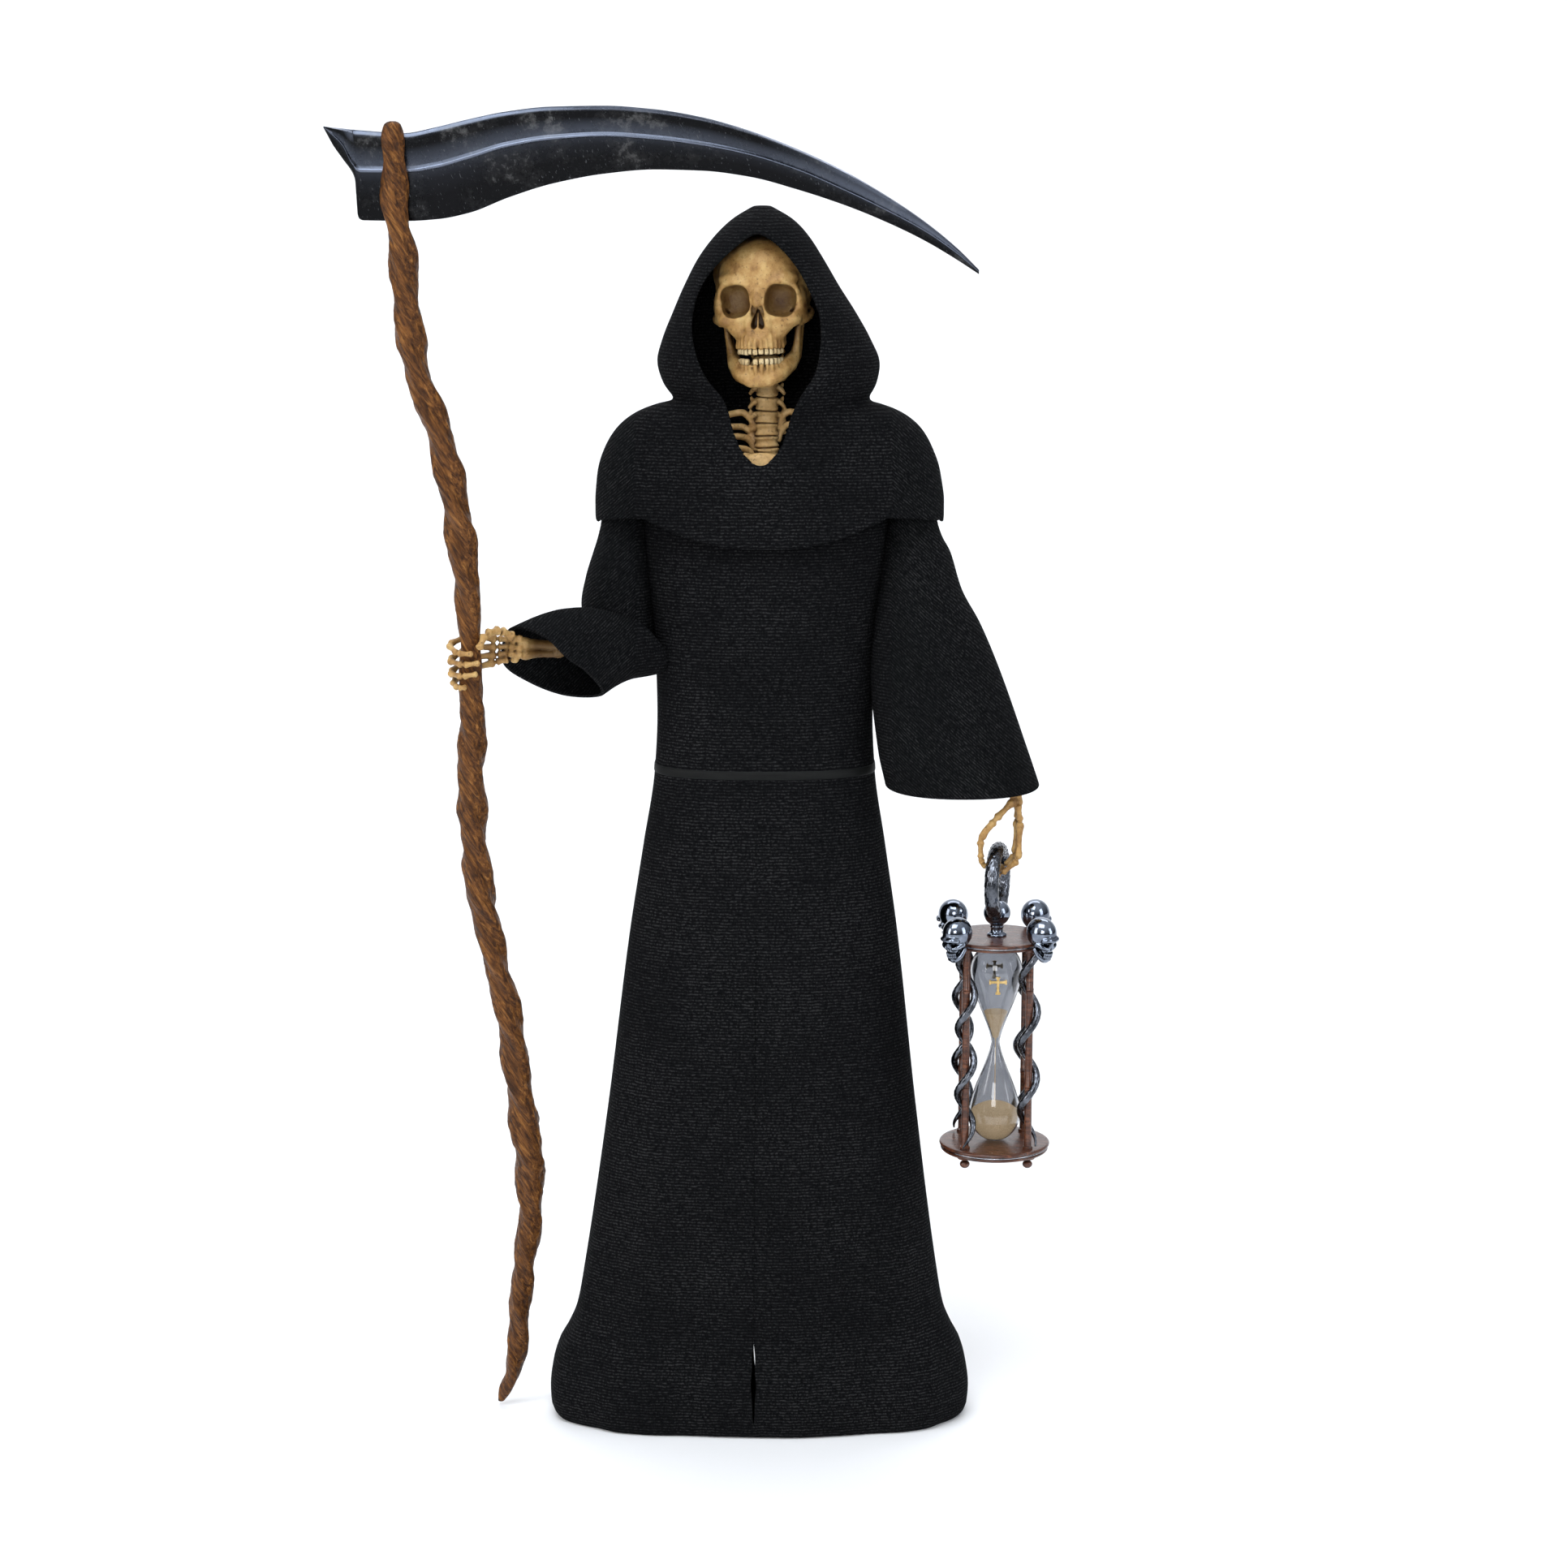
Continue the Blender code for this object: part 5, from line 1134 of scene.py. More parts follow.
def blade_rings():
    """Upright slices of the blade: bevelled back, hollow, rib and thin edge."""
    rows = np.asarray(BLADE_SECTIONS, float)
    low, high = rows[0, 0], rows[-1, 0]
    places = low + (high - low) * np.linspace(0.0, 1.0, BLADE_SLICES)
    places = np.unique(np.concatenate([places, rows[:, 0], np.arange(*BLADE_HEEL)]))
    rings = []
    for x, (back, rib, edge) in zip(places, table_at(rows, places)):
        tall = back - edge
        half = BLADE_THICK / 2 * (0.35 + 0.65 * min(1.0, tall / BLADE_SLIM))
        up, down, line = back - rib, rib - edge, rib_line(tall)
        front = [
            (back, 0.30 * half), (back - 0.012 * tall - 0.10, 0.60 * half),
            (back - 0.048 * tall, 0.97 * half), (back - 0.066 * tall, 1.0 * half),
            (back - 0.084 * tall, 0.90 * half), (rib + 0.62 * up, 0.66 * half),
            (rib + 0.30 * up, 0.54 * half), (rib + 0.12 * up, 0.60 * half),
            (rib + 2.2 * line, 0.86 * half), (rib + line, 1.0 * half),
            (rib - line, 1.0 * half), (rib - 2.4 * line, 0.78 * half),
            (rib - 0.22 * down, 0.66 * half), (rib - 0.55 * down, 0.52 * half),
            (rib - 0.70 * down, 0.46 * half), (rib - 0.86 * down, 0.26 * half),
            (edge, 0.06)]
        outline = [(z, -y) for z, y in front] + [(z, y) for z, y in reversed(front)]
        rings.append([(x, lean_y(z) + BLADE_BEHIND + y, z) for z, y in outline])
    return np.asarray(rings)


def mark_bright(blade):
    """Mark where highlights are painted on the steel: along the back, on the rib and beside it, more
    towards the tip.
    """
    rows = np.asarray(BLADE_SECTIONS, float)
    spots, _ = points_of(blade)
    back, rib, edge = table_at(rows, np.clip(spots[:, 0], rows[0, 0], rows[-1, 0])).T
    z = spots[:, 2]
    over = (z - rib) / np.maximum(back - rib, 0.1)
    under = (rib - z) / np.maximum(rib - edge, 0.1)
    # painted highlights: bands on the back bevel, above the rib and on its flat line, brighter towards the
    # tip
    bright = 0.36 * np.clip((over - 0.84) / 0.10, 0.0, 1.0)
    bright = np.maximum(bright, 0.20 * np.exp(-((over - 0.14) / 0.20) ** 2) * (over > 0.02))
    bright = np.maximum(bright, 0.05 * np.exp(-(under / 0.20) ** 2) * (under > 0.02))
    bright = np.maximum(bright, 0.48 * (np.abs(z - rib) < 1.6 * rib_line(back - edge)))
    to_tip = np.clip(spots[:, 0] / rows[-1, 0], 0.0, 1.0)
    bright += to_tip * (0.26 * (over > 0) + 0.24 * (over > 0.84))
    layer = blade.data.attributes.new("bright", "FLOAT", "POINT")
    layer.data.foreach_set("value", bright.astype(np.float32))


def make_scythe(wood, steel):
    """Staff and blade."""
    staff = staff_form("staff_wood")
    crisp(staff, 70.0)
    blade = loft("blade_steel", blade_rings())
    mark_bright(blade)
    crisp(blade, 22.0)
    dress(staff, wood, "scythe_staff")
    dress(blade, steel, "scythe_blade")


# Hourglass

def turned(name, profile, sides, middle=GLASS_AXIS):
    """A solid turned from rows of height and radius about an upright axis."""
    angles = turns(sides)
    return loft(name, [ring_at(middle[0] + radius * np.cos(angles),
                               middle[1] + radius * np.sin(angles), z) for z, radius in profile])


def beside_axis(way, reach):
    """A place at a distance from the hourglass's axis."""
    return GLASS_AXIS[0] + reach * math.cos(way), GLASS_AXIS[1] + reach * math.sin(way)


def post_places():
    """Number, outward direction and middle of each of the four posts."""
    ways = [math.radians(angle) for angle in (-135, -45, 45, 135)]
    return [(k, way, beside_axis(way, POST_RING)) for k, way in enumerate(ways, 1)]


def bead(middle, radius, half_tall, swell):
    """Rows of a rounded bead on a turned profile."""
    return [(middle + half_tall * math.sin(angle), radius + swell * math.cos(angle))
            for angle in np.linspace(-math.pi / 2, math.pi / 2, 11)]


def plate_profile(top, thick, radius):
    """Two round beads with a narrow groove between them."""
    low = top - thick
    rows = [(low, 2.0), (low, radius - 1.9), (low + 0.02, radius - 1.5)]
    rows += bead(low + 0.235 * thick, radius - 1.35, 0.22 * thick, 0.85)
    rows.append((low + PLATE_GROOVE * thick, radius - 1.05))
    rows += bead(low + 0.77 * thick, radius - 0.85, 0.215 * thick, 0.85)
    rows += [(top, radius - 1.2), (top, radius - 2.4), (top, 6.0)]
    return rows


def ring_middle():
    """Middle of the ring handle, the direction across it, and outward directions by angle."""
    middle = np.array((*GLASS_AXIS, BALL_HEIGHT + RING_RADIUS))
    side = np.array((math.sin(RING_TURN), math.cos(RING_TURN), 0.0))

    def outward_at(angle):
        return side * math.sin(angle) + np.array((0, 0, -math.cos(angle)))

    return middle, np.cross(side, (0, 0, 1)), outward_at


def ring_form(name, outward, steps, sides):
    """The plain ring handle."""
    middle, across, outward_at = ring_middle()
    tube = RING_TUBE + outward
    rings = [[middle + outward_at(angle) * (RING_RADIUS + tube * math.cos(turn))
              + across * tube * math.sin(turn) for turn in turns(sides)] for angle in turns(steps)]
    return loft(name, rings, ends="joined")


def scale_lift(u, v, rows_along, columns):
    """Height of overlapping pointed scales, by place along and round a tube, from 0 to 1."""
    row = u * rows_along
    best = np.zeros_like(u)
    for back in range(0, 3):
        base = np.floor(row) - back
        centre = (v * columns + 0.5 * (base % 2)) % 1.0 - 0.5
        along = row - base
        reach = along / 1.9
        half = 0.56 * np.sqrt(np.clip(1.0 - reach ** 2.2, 0.0, 1.0))
        inside = (np.abs(centre) < half) & (reach < 1.0)
        dome = 1.0 - 0.55 * (centre / np.maximum(half, 0.05)) ** 2
        height = (0.45 + 0.55 * reach) * dome
        best = np.where(inside & (height > best), height, best)
    return best


def scaled_tube(name, line, radii, sides, rows_along, columns, depth, first_side=None):
    """A tube along a dense line, covered with overlapping scales; with a first side, a ring."""
    line = np.asarray(line, float)
    count = len(line)
    closed = first_side is not None
    ways = np.roll(line, -1, 0) - np.roll(line, 1, 0) if closed else np.gradient(line, axis=0)
    ways /= np.linalg.norm(ways, axis=1)[:, None]
    side = np.array(first_side if closed else (0.0, 0.0, 1.0), float)
    rings = []
    angles = turns(sides)
    v = angles / (2 * np.pi)
    for k in range(count):
        side = side - ways[k] * (side @ ways[k])
        side /= np.linalg.norm(side)
        over = np.cross(ways[k], side)
        lift = scale_lift(np.full(sides, k / count), v, rows_along, columns)
        reach = radii[k] * (1.0 - depth * 0.5) + depth * radii[k] * lift
        rings.append(line[k] + np.outer(np.cos(angles) * reach, side)
                     + np.outer(np.sin(angles) * reach, over))
    return loft(name, rings, ends="joined" if closed else "fan")


def small_skull():
    """A bright metal skull in its own frame: it faces +X, and its middle is at the origin."""
    size = HEAD_RADIUS

    def at(*places):
        return [tuple(c * size for c in place) for place in places]

    def wide(*shares):
        return at(shares)[0]

    bm = bmesh.new()
    lump(bm, *at((-0.05, 0, 0.02), (1, 0.88, 0.98)), 40)
    lump(bm, *at((0.62, 0, -0.66), (0.40, 0.46, 0.52)), 24)
    lump(bm, *at((0.66, 0, -1.40), (0.36, 0.40, 0.30)), 20)
    limb(bm, at((0.86, 0, -0.10), (1.02, 0, -0.46)), wide(0.14, 0.10), 12)
    for s in (-1, 1):
        limb(bm, at((0.98, 0, -0.05), (0.92, s * 0.34, 0.02), (0.66, s * 0.66, -0.12)),
             wide(0.16, 0.17, 0.14), 12)
        limb(bm, at((0.90, s * 0.22, -0.58), (0.74, s * 0.56, -0.52), (0.30, s * 0.78, -0.46)),
             wide(0.15, 0.16, 0.12), 12)
        limb(bm, at((0.86, s * 0.16, -1.44), (0.56, s * 0.42, -1.26), (0.14, s * 0.56, -0.86)),
             wide(0.19, 0.18, 0.16), 12)
    head = from_bmesh("small_skull", bm)
    melt(head, 0.2, 3)
    holes = bmesh.new()
    for s in (-1, 1):
        lump(holes, *at((1, s * 0.34, -0.27), (0.36, 0.23, 0.2)), 18, 2.4)
    lump(holes, *at((1.12, 0, -0.62), (0.24, 0.09, 0.14)), 14)
    combine(head, from_bmesh("small_holes", holes), "DIFFERENCE")
    melt(head, 0.19, 2, HEAD_FACES)
    bm = bmesh.new()
    bm.from_mesh(head.data)
    bmesh.ops.scale(bm, vec=(1 / MM, 1 / MM, 1 / MM), verts=bm.verts)
    reach = 0.40 * size
    for z in (-0.98, -1.16):
        for k in range(8):
            angle = (k - 3.5) * 0.27
            spot = (0.64 * size + reach * math.cos(angle), reach * math.sin(angle), z * size)
            lump(bm, spot, wide(0.07, 0.062, 0.11), 8, 2.6)
    bpy.data.objects.remove(head, do_unlink=True)
    return from_bmesh("small_skull", bm)


def serpent_line(way, place, low, high):
    """The serpent's middle line, from its tail on the base up to its head."""
    coil = POST_RADIUS + 0.28 + SERPENT_RADIUS
    clear = TOP_RADIUS + 0.25 + SERPENT_RADIUS
    points = []
    for z in np.linspace(low + SERPENT_RADIUS * 0.9, high - 3.0, 60):
        angle = way + SERPENT_LEAD + (z - high) * 2 * math.pi / SERPENT_PITCH
        points.append((place[0] + coil * math.cos(angle), place[1] + coil * math.sin(angle), z))
    for reach, z in ((clear, high + 0.2), (clear + 0.3, high + 2.6), (HEAD_RING - 0.4, HEAD_HEIGHT - 1.0)):
        points.append((*beside_axis(way, reach), z))
    return smooth_path(points, SERPENT_STEP)


def make_serpents(metal, chrome):
    """Four serpents round the posts, each with a skull for its head."""
    skull_shape = small_skull()
    tilt = Matrix.Rotation(math.radians(18.0), 4, "Y") @ Matrix.Scale(HEAD_SWELL, 4)
    for k, way, place in post_places():
        line = serpent_line(way, place, BASE_TOP, TOP_TOP - TOP_THICK)
        share = np.linspace(0.0, 1.0, len(line))
        radii = SERPENT_RADIUS * np.clip(0.25 + 6.0 * share, 0.0, 1.0)
        scales = int(len(line) * SERPENT_STEP / 1.15)
        dress(scaled_tube(f"serpent_{k}_body", line, radii, 36, scales, 7, 0.16), metal, f"serpent_{k}")
        head = link(f"serpent_{k}_skull", skull_shape.data.copy())
        spot = Vector((*beside_axis(way, HEAD_RING), HEAD_HEIGHT)) * MM
        head.data.transform(Matrix.Translation(spot) @ Matrix.Rotation(way, 4, "Z") @ tilt)
        dress(head, chrome, f"serpent_{k}")
    bpy.data.objects.remove(skull_shape, do_unlink=True)


def make_handle(metal, chrome):
    """The scaled ring with its ball and collar."""
    middle, across, outward_at = ring_middle()
    line = [middle + outward_at(angle) * RING_RADIUS
            for angle in np.linspace(0.0, 2 * math.pi, RING_STEPS, endpoint=False)]
    ring = scaled_tube("ring_scales", line, np.full(RING_STEPS, RING_TUBE), 64, 44, 9, 0.15, across)
    profile = [(TOP_TOP + rise, radius) for rise, radius in (
        (0, 3.6), (0.5, 3.6), (0.9, 3.2), (1.3, 2.35), (2.6, 2.2), (3.0, 2.35), (3.3, 2.6), (3.7, 2.4))]
    profile += [(BALL_HEIGHT + BALL_RADIUS * math.sin(angle), BALL_RADIUS * math.cos(angle))
                for angle in np.linspace(-1.05, 1.5, 26)]
    dress(ring, metal, "ring_handle")
    dress(turned("ring_ball", profile, 64), chrome, "ring_handle")


def make_plate(name, feet, wood, top, thick, radius):
    """A turned plate of the hourglass with its feet."""
    plate = turned(f"hourglass_{name}_wood", plate_profile(top, thick, radius), PLATE_SIDES)
    if feet:
        plate = join(plate.name, [plate, *feet])
    crisp(plate, 50.0)
    dress(plate, wood, f"hourglass_{name}")


def make_band(name, silver, top, thick, radius):
    """The silver line in the groove of a plate."""
    middle = top - PLATE_GROOVE * thick
    spin = turns(PLATE_SIDES)
    rings = []
    for turn in turns(10):
        reach = radius - 0.62 + 0.32 * math.cos(turn)
        rings.append(ring_at(GLASS_AXIS[0] + reach * np.cos(spin),
                             GLASS_AXIS[1] + reach * np.sin(spin), middle + 0.22 * math.sin(turn)))
    dress(loft(f"{name}_band", rings, ends="joined"), silver)


def make_frame_work(wood, silver):
    """Plates, feet and posts of the hourglass."""
    under = BASE_TOP - BASE_THICK
    profile = [(under - FOOT_TALL, 0.9)] + bead(under - 0.66 * FOOT_TALL, 0.4, 0.34 * FOOT_TALL, 1.45)
    profile += [(under - 0.30 * FOOT_TALL, 1.05), (under - 0.22 * FOOT_TALL, 1.3),
                (under - 0.14 * FOOT_TALL, 2.6), (under - 0.02, 2.9), (under + 0.3, 2.9)]
    feet = [turned(f"foot_{k}", profile, 40, place) for k, _, place in post_places()]
    make_plate("base", feet, wood, BASE_TOP, BASE_THICK, BASE_RADIUS)
    make_plate("top", [], wood, TOP_TOP, TOP_THICK, TOP_RADIUS)
    low, high = BASE_TOP + 0.02, TOP_TOP - TOP_THICK - 0.02
    steps = [(low, 0.5), (low + 0.8, 0.5), (low + 1.1, 0.0)]
    for joint in POST_JOINTS:
        steps += [(joint + rise, out) for rise, out in (
            (-1.0, 0), (-0.8, 0.12), (-0.15, 0.12), (0, -0.15), (0.15, 0.12), (0.8, 0.12), (1.0, 0))]
    steps += [(high - 1.1, 0.0), (high - 0.8, 0.5), (high, 0.5)]
    profile = [(z, POST_RADIUS + out) for z, out in steps]
    for k, _, place in post_places():
        post = turned(f"post_{k}_wood", profile, 32, place)
        crisp(post, 50.0)
        dress(post, wood, f"hourglass_post_{k}")
    make_band("base", silver, BASE_TOP, BASE_THICK, BASE_RADIUS)
    make_band("top", silver, TOP_TOP, TOP_THICK, TOP_RADIUS)


def bulb_radius(share):
    """Radius of a bulb, by its height above the neck as a share of the bulb's length."""
    if share >= 1.0 - GLASS_SHOULDER:
        over = (share - 1.0 + GLASS_SHOULDER) / GLASS_SHOULDER
        return GLASS_RADIUS * math.sqrt(max(0.0, 1.0 - 0.93 * over * over))
    rise = share / (1.0 - GLASS_SHOULDER)
    soft = 0.5 - 0.5 * math.cos(math.pi * rise ** 0.86)
    return GLASS_NECK + (GLASS_RADIUS - GLASS_NECK) * (0.62 * soft + 0.38 * rise)


SAND_UPPER = 0.31
SAND_LOWER = 0.70
SAND_HEAP = 3.4


def bulb_room(share):
    """Radius of the sand where it touches the glass."""
    return max(0.4, bulb_radius(share) - GLASS_WALL - 0.12)


def make_glass(glass, sand):
    """Both bulbs with the sand in them."""
    low, high = BASE_TOP + 0.3, TOP_TOP - TOP_THICK - 0.3
    neck, half = (low + high) / 2, (high - low) / 2
    shares = np.concatenate([np.linspace(0.0, 0.98, 50), np.linspace(0.985, 1.0, 7)])
    outer = [(neck - half * s, bulb_radius(s)) for s in shares[:0:-1]]
    outer += [(neck + half * s, bulb_radius(s)) for s in shares]
    shell = turned("glass_bulbs", outer, GLASS_SIDES)
    inside = turned("glass_inside", [(z, max(0.45, r - GLASS_WALL)) for z, r in outer[1:-1]],
                    GLASS_SIDES)
    for polygon in inside.data.polygons:
        polygon.flip()
    shell = join("glass_bulbs", [shell, inside])
    shell.data.shade_smooth()
    dress(shell, glass, "hourglass_glass")

    upper = [(neck + half * s, bulb_room(s)) for s in np.linspace(0.05, SAND_UPPER, 26)]
    for fall, share in ((0.25, 0.95), (0.5, 0.75), (0.7, 0.45), (0.8, 0.2)):
        upper.append((neck + half * SAND_UPPER + 0.3 - fall * 0.5, bulb_room(SAND_UPPER) * share))
    heap = [(neck - half * s, bulb_room(s)) for s in np.linspace(0.965, SAND_LOWER, 24)]
    start = neck - half * SAND_LOWER
    for share in np.linspace(0.06, 0.98, 22):
        heap.append((start + SAND_HEAP * share ** 0.8, bulb_room(SAND_LOWER) * (1 - share) ** 0.6))
    stream = [(start + SAND_HEAP - 0.5, 0.22), (neck, 0.2), (neck + half * 0.08, 0.5)]
    grains = join("hourglass_sand", [turned("sand_above", upper, SAND_SIDES),
                                     turned("sand_below", heap, SAND_SIDES),
                                     turned("sand_stream", stream, 16)])
    weather(grains, 1.2, 0.06, 6)
    grains.data.shade_smooth()
    dress(grains, sand)


CROSS_SHARE = 0.62
CROSS_ARMS = ((3.3, 0.0), (-3.3, 0.0), (0.0, 2.0), (0.0, -4.7))
CROSS_OUTLINE = ((0.0, -0.45), (0.72, -0.5), (0.86, -0.95), (0.97, -0.9), (1.0, 0.0), (0.97, 0.9),
                 (0.86, 0.95), (0.72, 0.5), (0.0, 0.45))


def make_cross(name, side, gold):
    """A small cross with flared ends, just off the upper bulb."""
    high, low = TOP_TOP - TOP_THICK - 0.3, BASE_TOP + 0.3
    half = (high - low) / 2
    z = low + half + half * CROSS_SHARE + (0.6 if side < 0 else 1.6)
    y = GLASS_AXIS[1] + side * (bulb_radius(CROSS_SHARE + 0.07) + 0.85)
    bm = bmesh.new()
    for end in CROSS_ARMS:
        end = Vector(end)
        across = Vector((-end.y, end.x)).normalized()
        outline = [end * along + across * wide for along, wide in CROSS_OUTLINE]
        front, rear = [[bm.verts.new((GLASS_AXIS[0] + p.x, y + deep, z + 1.4 + p.y)) for p in outline]
                       for deep in (-0.45, 0.45)]
        bm.faces.new(front)
        bm.faces.new(rear[::-1])
        for i in range(len(front)):
            j = (i + 1) % len(front)
            bm.faces.new((front[i], rear[i], rear[j], front[j]))
    cross = from_bmesh(name + "_gilt", bm)
    melt(cross, 0.12, 3)
    dress(cross, gold, name)


# Materials

class Look:
    """A procedural material under construction."""

    def __init__(self, name, colour, roughness, metallic=0.0):
        self.surface = bpy.data.materials.new(name)
        self.surface.use_nodes = True
        self.tree = self.surface.node_tree
        self.shader = self.tree.nodes["Principled BSDF"]
        self.set(Base_Color=colour, Roughness=roughness, Metallic=metallic)
        self.places = self.add("ShaderNodeTexCoord").outputs["Object"]

    def feed(self, socket, value):
        """Join an output to an input, or set the input's plain value."""
        if isinstance(value, bpy.types.NodeSocket):
            self.tree.links.new(value, socket)
        elif socket.type == "RGBA":
            socket.default_value = (*value, 1.0)
        else:
            socket.default_value = value

    def add(self, kind, inputs=(), **settings):
        """A node with some of its settings and inputs."""
        made = self.tree.nodes.new(kind)
        for key, value in settings.items():
            setattr(made, key, value)
        for key, value in dict(inputs).items():
            self.feed(made.inputs[key], value)
        return made

    def set(self, **values):
        """Plain values or sources for the shader's inputs."""
        for key, value in values.items():
            self.feed(self.shader.inputs[key.replace("_", " ")], value)

    def stretched(self, scale, turn=(0.0, 0.0, 0.0)):
        """Places turned and stretched; a scale of 1 is one cycle per millimetre."""
        scale = scale if isinstance(scale, tuple) else (scale, scale, scale)
        turned_places = self.add("ShaderNodeMapping", {"Rotation": turn, "Vector": self.places})
        return self.add("ShaderNodeMapping", {
            "Scale": tuple(s * METRE for s in scale),
            "Vector": turned_places.outputs["Vector"]}).outputs["Vector"]

    def grain(self, scale, detail=3.0, roughness=0.55, turn=(0.0, 0.0, 0.0), distortion=0.0):
        """Soft noise, as a value."""
        return self.add("ShaderNodeTexNoise", {
            "Scale": 1.0, "Detail": detail, "Roughness": roughness, "Distortion": distortion,
            "Vector": self.stretched(scale, turn)}).outputs["Fac"]

    def cells(self, scale):
        """Cell noise, as a distance."""
        return self.add("ShaderNodeTexVoronoi", {
            "Scale": 1.0, "Vector": self.stretched(scale)}).outputs["Distance"]

    def stripes(self, scale, distortion):
        """Wavy level stripes, as a value."""
        return self.add("ShaderNodeTexWave", {
            "Scale": 1.0, "Distortion": distortion, "Detail": 2.0, "Vector": self.stretched(scale)},
            bands_direction="Z").outputs["Fac"]

    def ramp(self, value, *stops):
        """Colours by value."""
        made = self.add("ShaderNodeValToRGB", {"Fac": value})
        band = made.color_ramp
        while len(band.elements) < len(stops):
            band.elements.new(0.5)
        for element, (at, colour) in zip(band.elements, stops):
            element.position = at
            element.color = (*colour, 1.0)
        return made.outputs["Color"]

    def spread(self, value, low, high, from_low=0.0, from_high=1.0):
        """A value moved to another range."""
        return self.add("ShaderNodeMapRange", {
            "From Min": from_low, "From Max": from_high, "To Min": low, "To Max": high,
            "Value": value}).outputs["Result"]

    def blend(self, share, first, second):
        """Two colours mixed by a value."""
        return self.add("ShaderNodeMix", {0: share, 6: first, 7: second}, data_type="RGBA").outputs[2]

    def sums(self, first, second, kind="ADD"):
        """Two values put together."""
        return self.add("ShaderNodeMath", {0: first, 1: second}, operation=kind).outputs[0]

    def hollows(self, distance):
        """How open a place is within its own piece, from 0 in a hollow to 1."""
        return self.add("ShaderNodeAmbientOcclusion", {"Distance": distance * MM},
                        samples=6, only_local=True).outputs["AO"]

    def bumps(self, *layers):
        """Relief from pairs of a value and its depth in millimetres."""
        below = {}
        for value, depth in layers:
            made = self.add("ShaderNodeBump", {"Distance": depth * MM, "Height": value, **below})
            below = {"Normal": made.outputs["Normal"]}
        self.set(**below)

    def along(self, axis):
        """One coordinate of the places."""
        return self.add("ShaderNodeSeparateXYZ", {"Vector": self.places}).outputs[axis]


def cloth_look():
    """Matt black cloth with fine knitted rows, slanting on the sleeves."""
    look = Look("black_cloth", (0.006, 0.0062, 0.007), 0.95)
    x, y, z = [look.along(axis) for axis in "XYZ"]
    beside = look.sums(look.sums(x, 0.0, "ABSOLUTE"), 0.046, "SUBTRACT")
    beside = look.sums(look.sums(beside, 0.0, "MAXIMUM"), 0.9, "MULTIPLY")
    above = look.spread(z, 0.0, 1.0, 0.238, 0.244)
    slant = look.sums(z, look.sums(beside, above, "MULTIPLY"))
    look.places = look.add("ShaderNodeCombineXYZ", {"X": x, "Y": y, "Z": slant}).outputs["Vector"]
    knit = look.stripes(0.27, 3.0)
    loops = look.grain((1.3, 1.3, 1.0), 2.0, 0.6)
    thread = look.sums(look.spread(knit, 0.12, 1.0), look.spread(loops, 0.0, 1.0, 0.36, 0.66), "MULTIPLY")
    patch = look.spread(look.grain(0.03), 0.75, 1.2, 0.35, 0.65)
    look.set(Specular_IOR_Level=0.04, Base_Color=look.ramp(
        look.sums(thread, patch, "MULTIPLY"), (0.0, (0.0022, 0.0024, 0.0028)),
        (0.35, (0.0060, 0.0063, 0.0068)), (0.9, (0.0225, 0.0225, 0.0232))))
    look.bumps((knit, 0.20), (loops, 0.22))
    return look.surface


def satin_look():
    """Smooth black satin, a little worn."""
    look = Look("black_satin", (0.0055, 0.006, 0.0058), 0.6)
    brighter_share = look.grain((0.05, 0.05, 0.6))
    look.set(Specular_IOR_Level=0.10, Roughness=look.spread(look.grain(0.3), 0.52, 0.68),
             Base_Color=look.ramp(brighter_share, (0.3, (0.004, 0.0044, 0.0044)), (0.7, (0.008, 0.0088, 0.0084))))
    look.bumps((look.grain((0.25, 0.25, 2.2)), 0.05))
    return look.surface


# Bone colours: the middle brown serves both real stains and painted shade in crevices; the deep brown is
# painted shade in deep hollows
STAIN_AND_SHADE_BROWN = (0.035, 0.014, 0.005)
HOLLOW_SHADE_BROWN = (0.052, 0.022, 0.004)
AGED = ((0.50, 0.335, 0.130), (0.36, 0.205, 0.066), (0.200, 0.098, 0.028))
# painted light: a brighter copy of the aged bone colours, for the neck that sits in the hood's shade
LIT_BONE = ((0.82, 0.57, 0.27), (0.66, 0.42, 0.17), (0.44, 0.245, 0.09))
IVORY = ((0.68, 0.56, 0.34), (0.58, 0.45, 0.24), (0.44, 0.30, 0.14))


def bone_look(name, colours, deep, shade=None):
    """Aged bone with stains; painted shade makes it brown in its hollows, so the high places stay pale."""
    light, middle, dark = colours
    look = Look(name, middle, 0.5)
    base = look.ramp(look.grain(0.16, 5.0, 0.62), (0.32, dark), (0.5, middle), (0.68, light))
    base = look.blend(look.spread(look.grain(0.85, 4.0, 0.7), 0.0, 0.75, 0.56, 0.72), base, STAIN_AND_SHADE_BROWN)
    # painted shade: deep hollows such as the eye sockets are darkened by the piece's own occlusion
    base = look.blend(look.spread(look.hollows(13.0), 1.0, 0.0, 0.26, 0.72), base, deep)
    # painted shade: fine crevices are darkened brown by the piece's own occlusion
    base = look.blend(look.spread(look.hollows(2.2), 0.95, 0.0, 0.30, 0.86), base, STAIN_AND_SHADE_BROWN)
    # painted shade: the bone darkens towards the cuff, as if in the sleeve's shadow
    if shade is not None:
        far = look.spread(look.along("X"), 0.0, 0.8, shade[0] * MM, shade[1] * MM)
        base = look.blend(far, base, deep)
    look.bumps((look.grain(0.9, 5.0, 0.65), 0.16), (look.grain(3.2, 2.0), 0.05))
    look.set(Base_Color=base, Roughness=look.spread(look.grain(0.5), 0.36, 0.60),
             Subsurface_Weight=0.03, Subsurface_Radius=(0.0012, 0.0007, 0.0003),
             Specular_IOR_Level=0.32)
    return look.surface


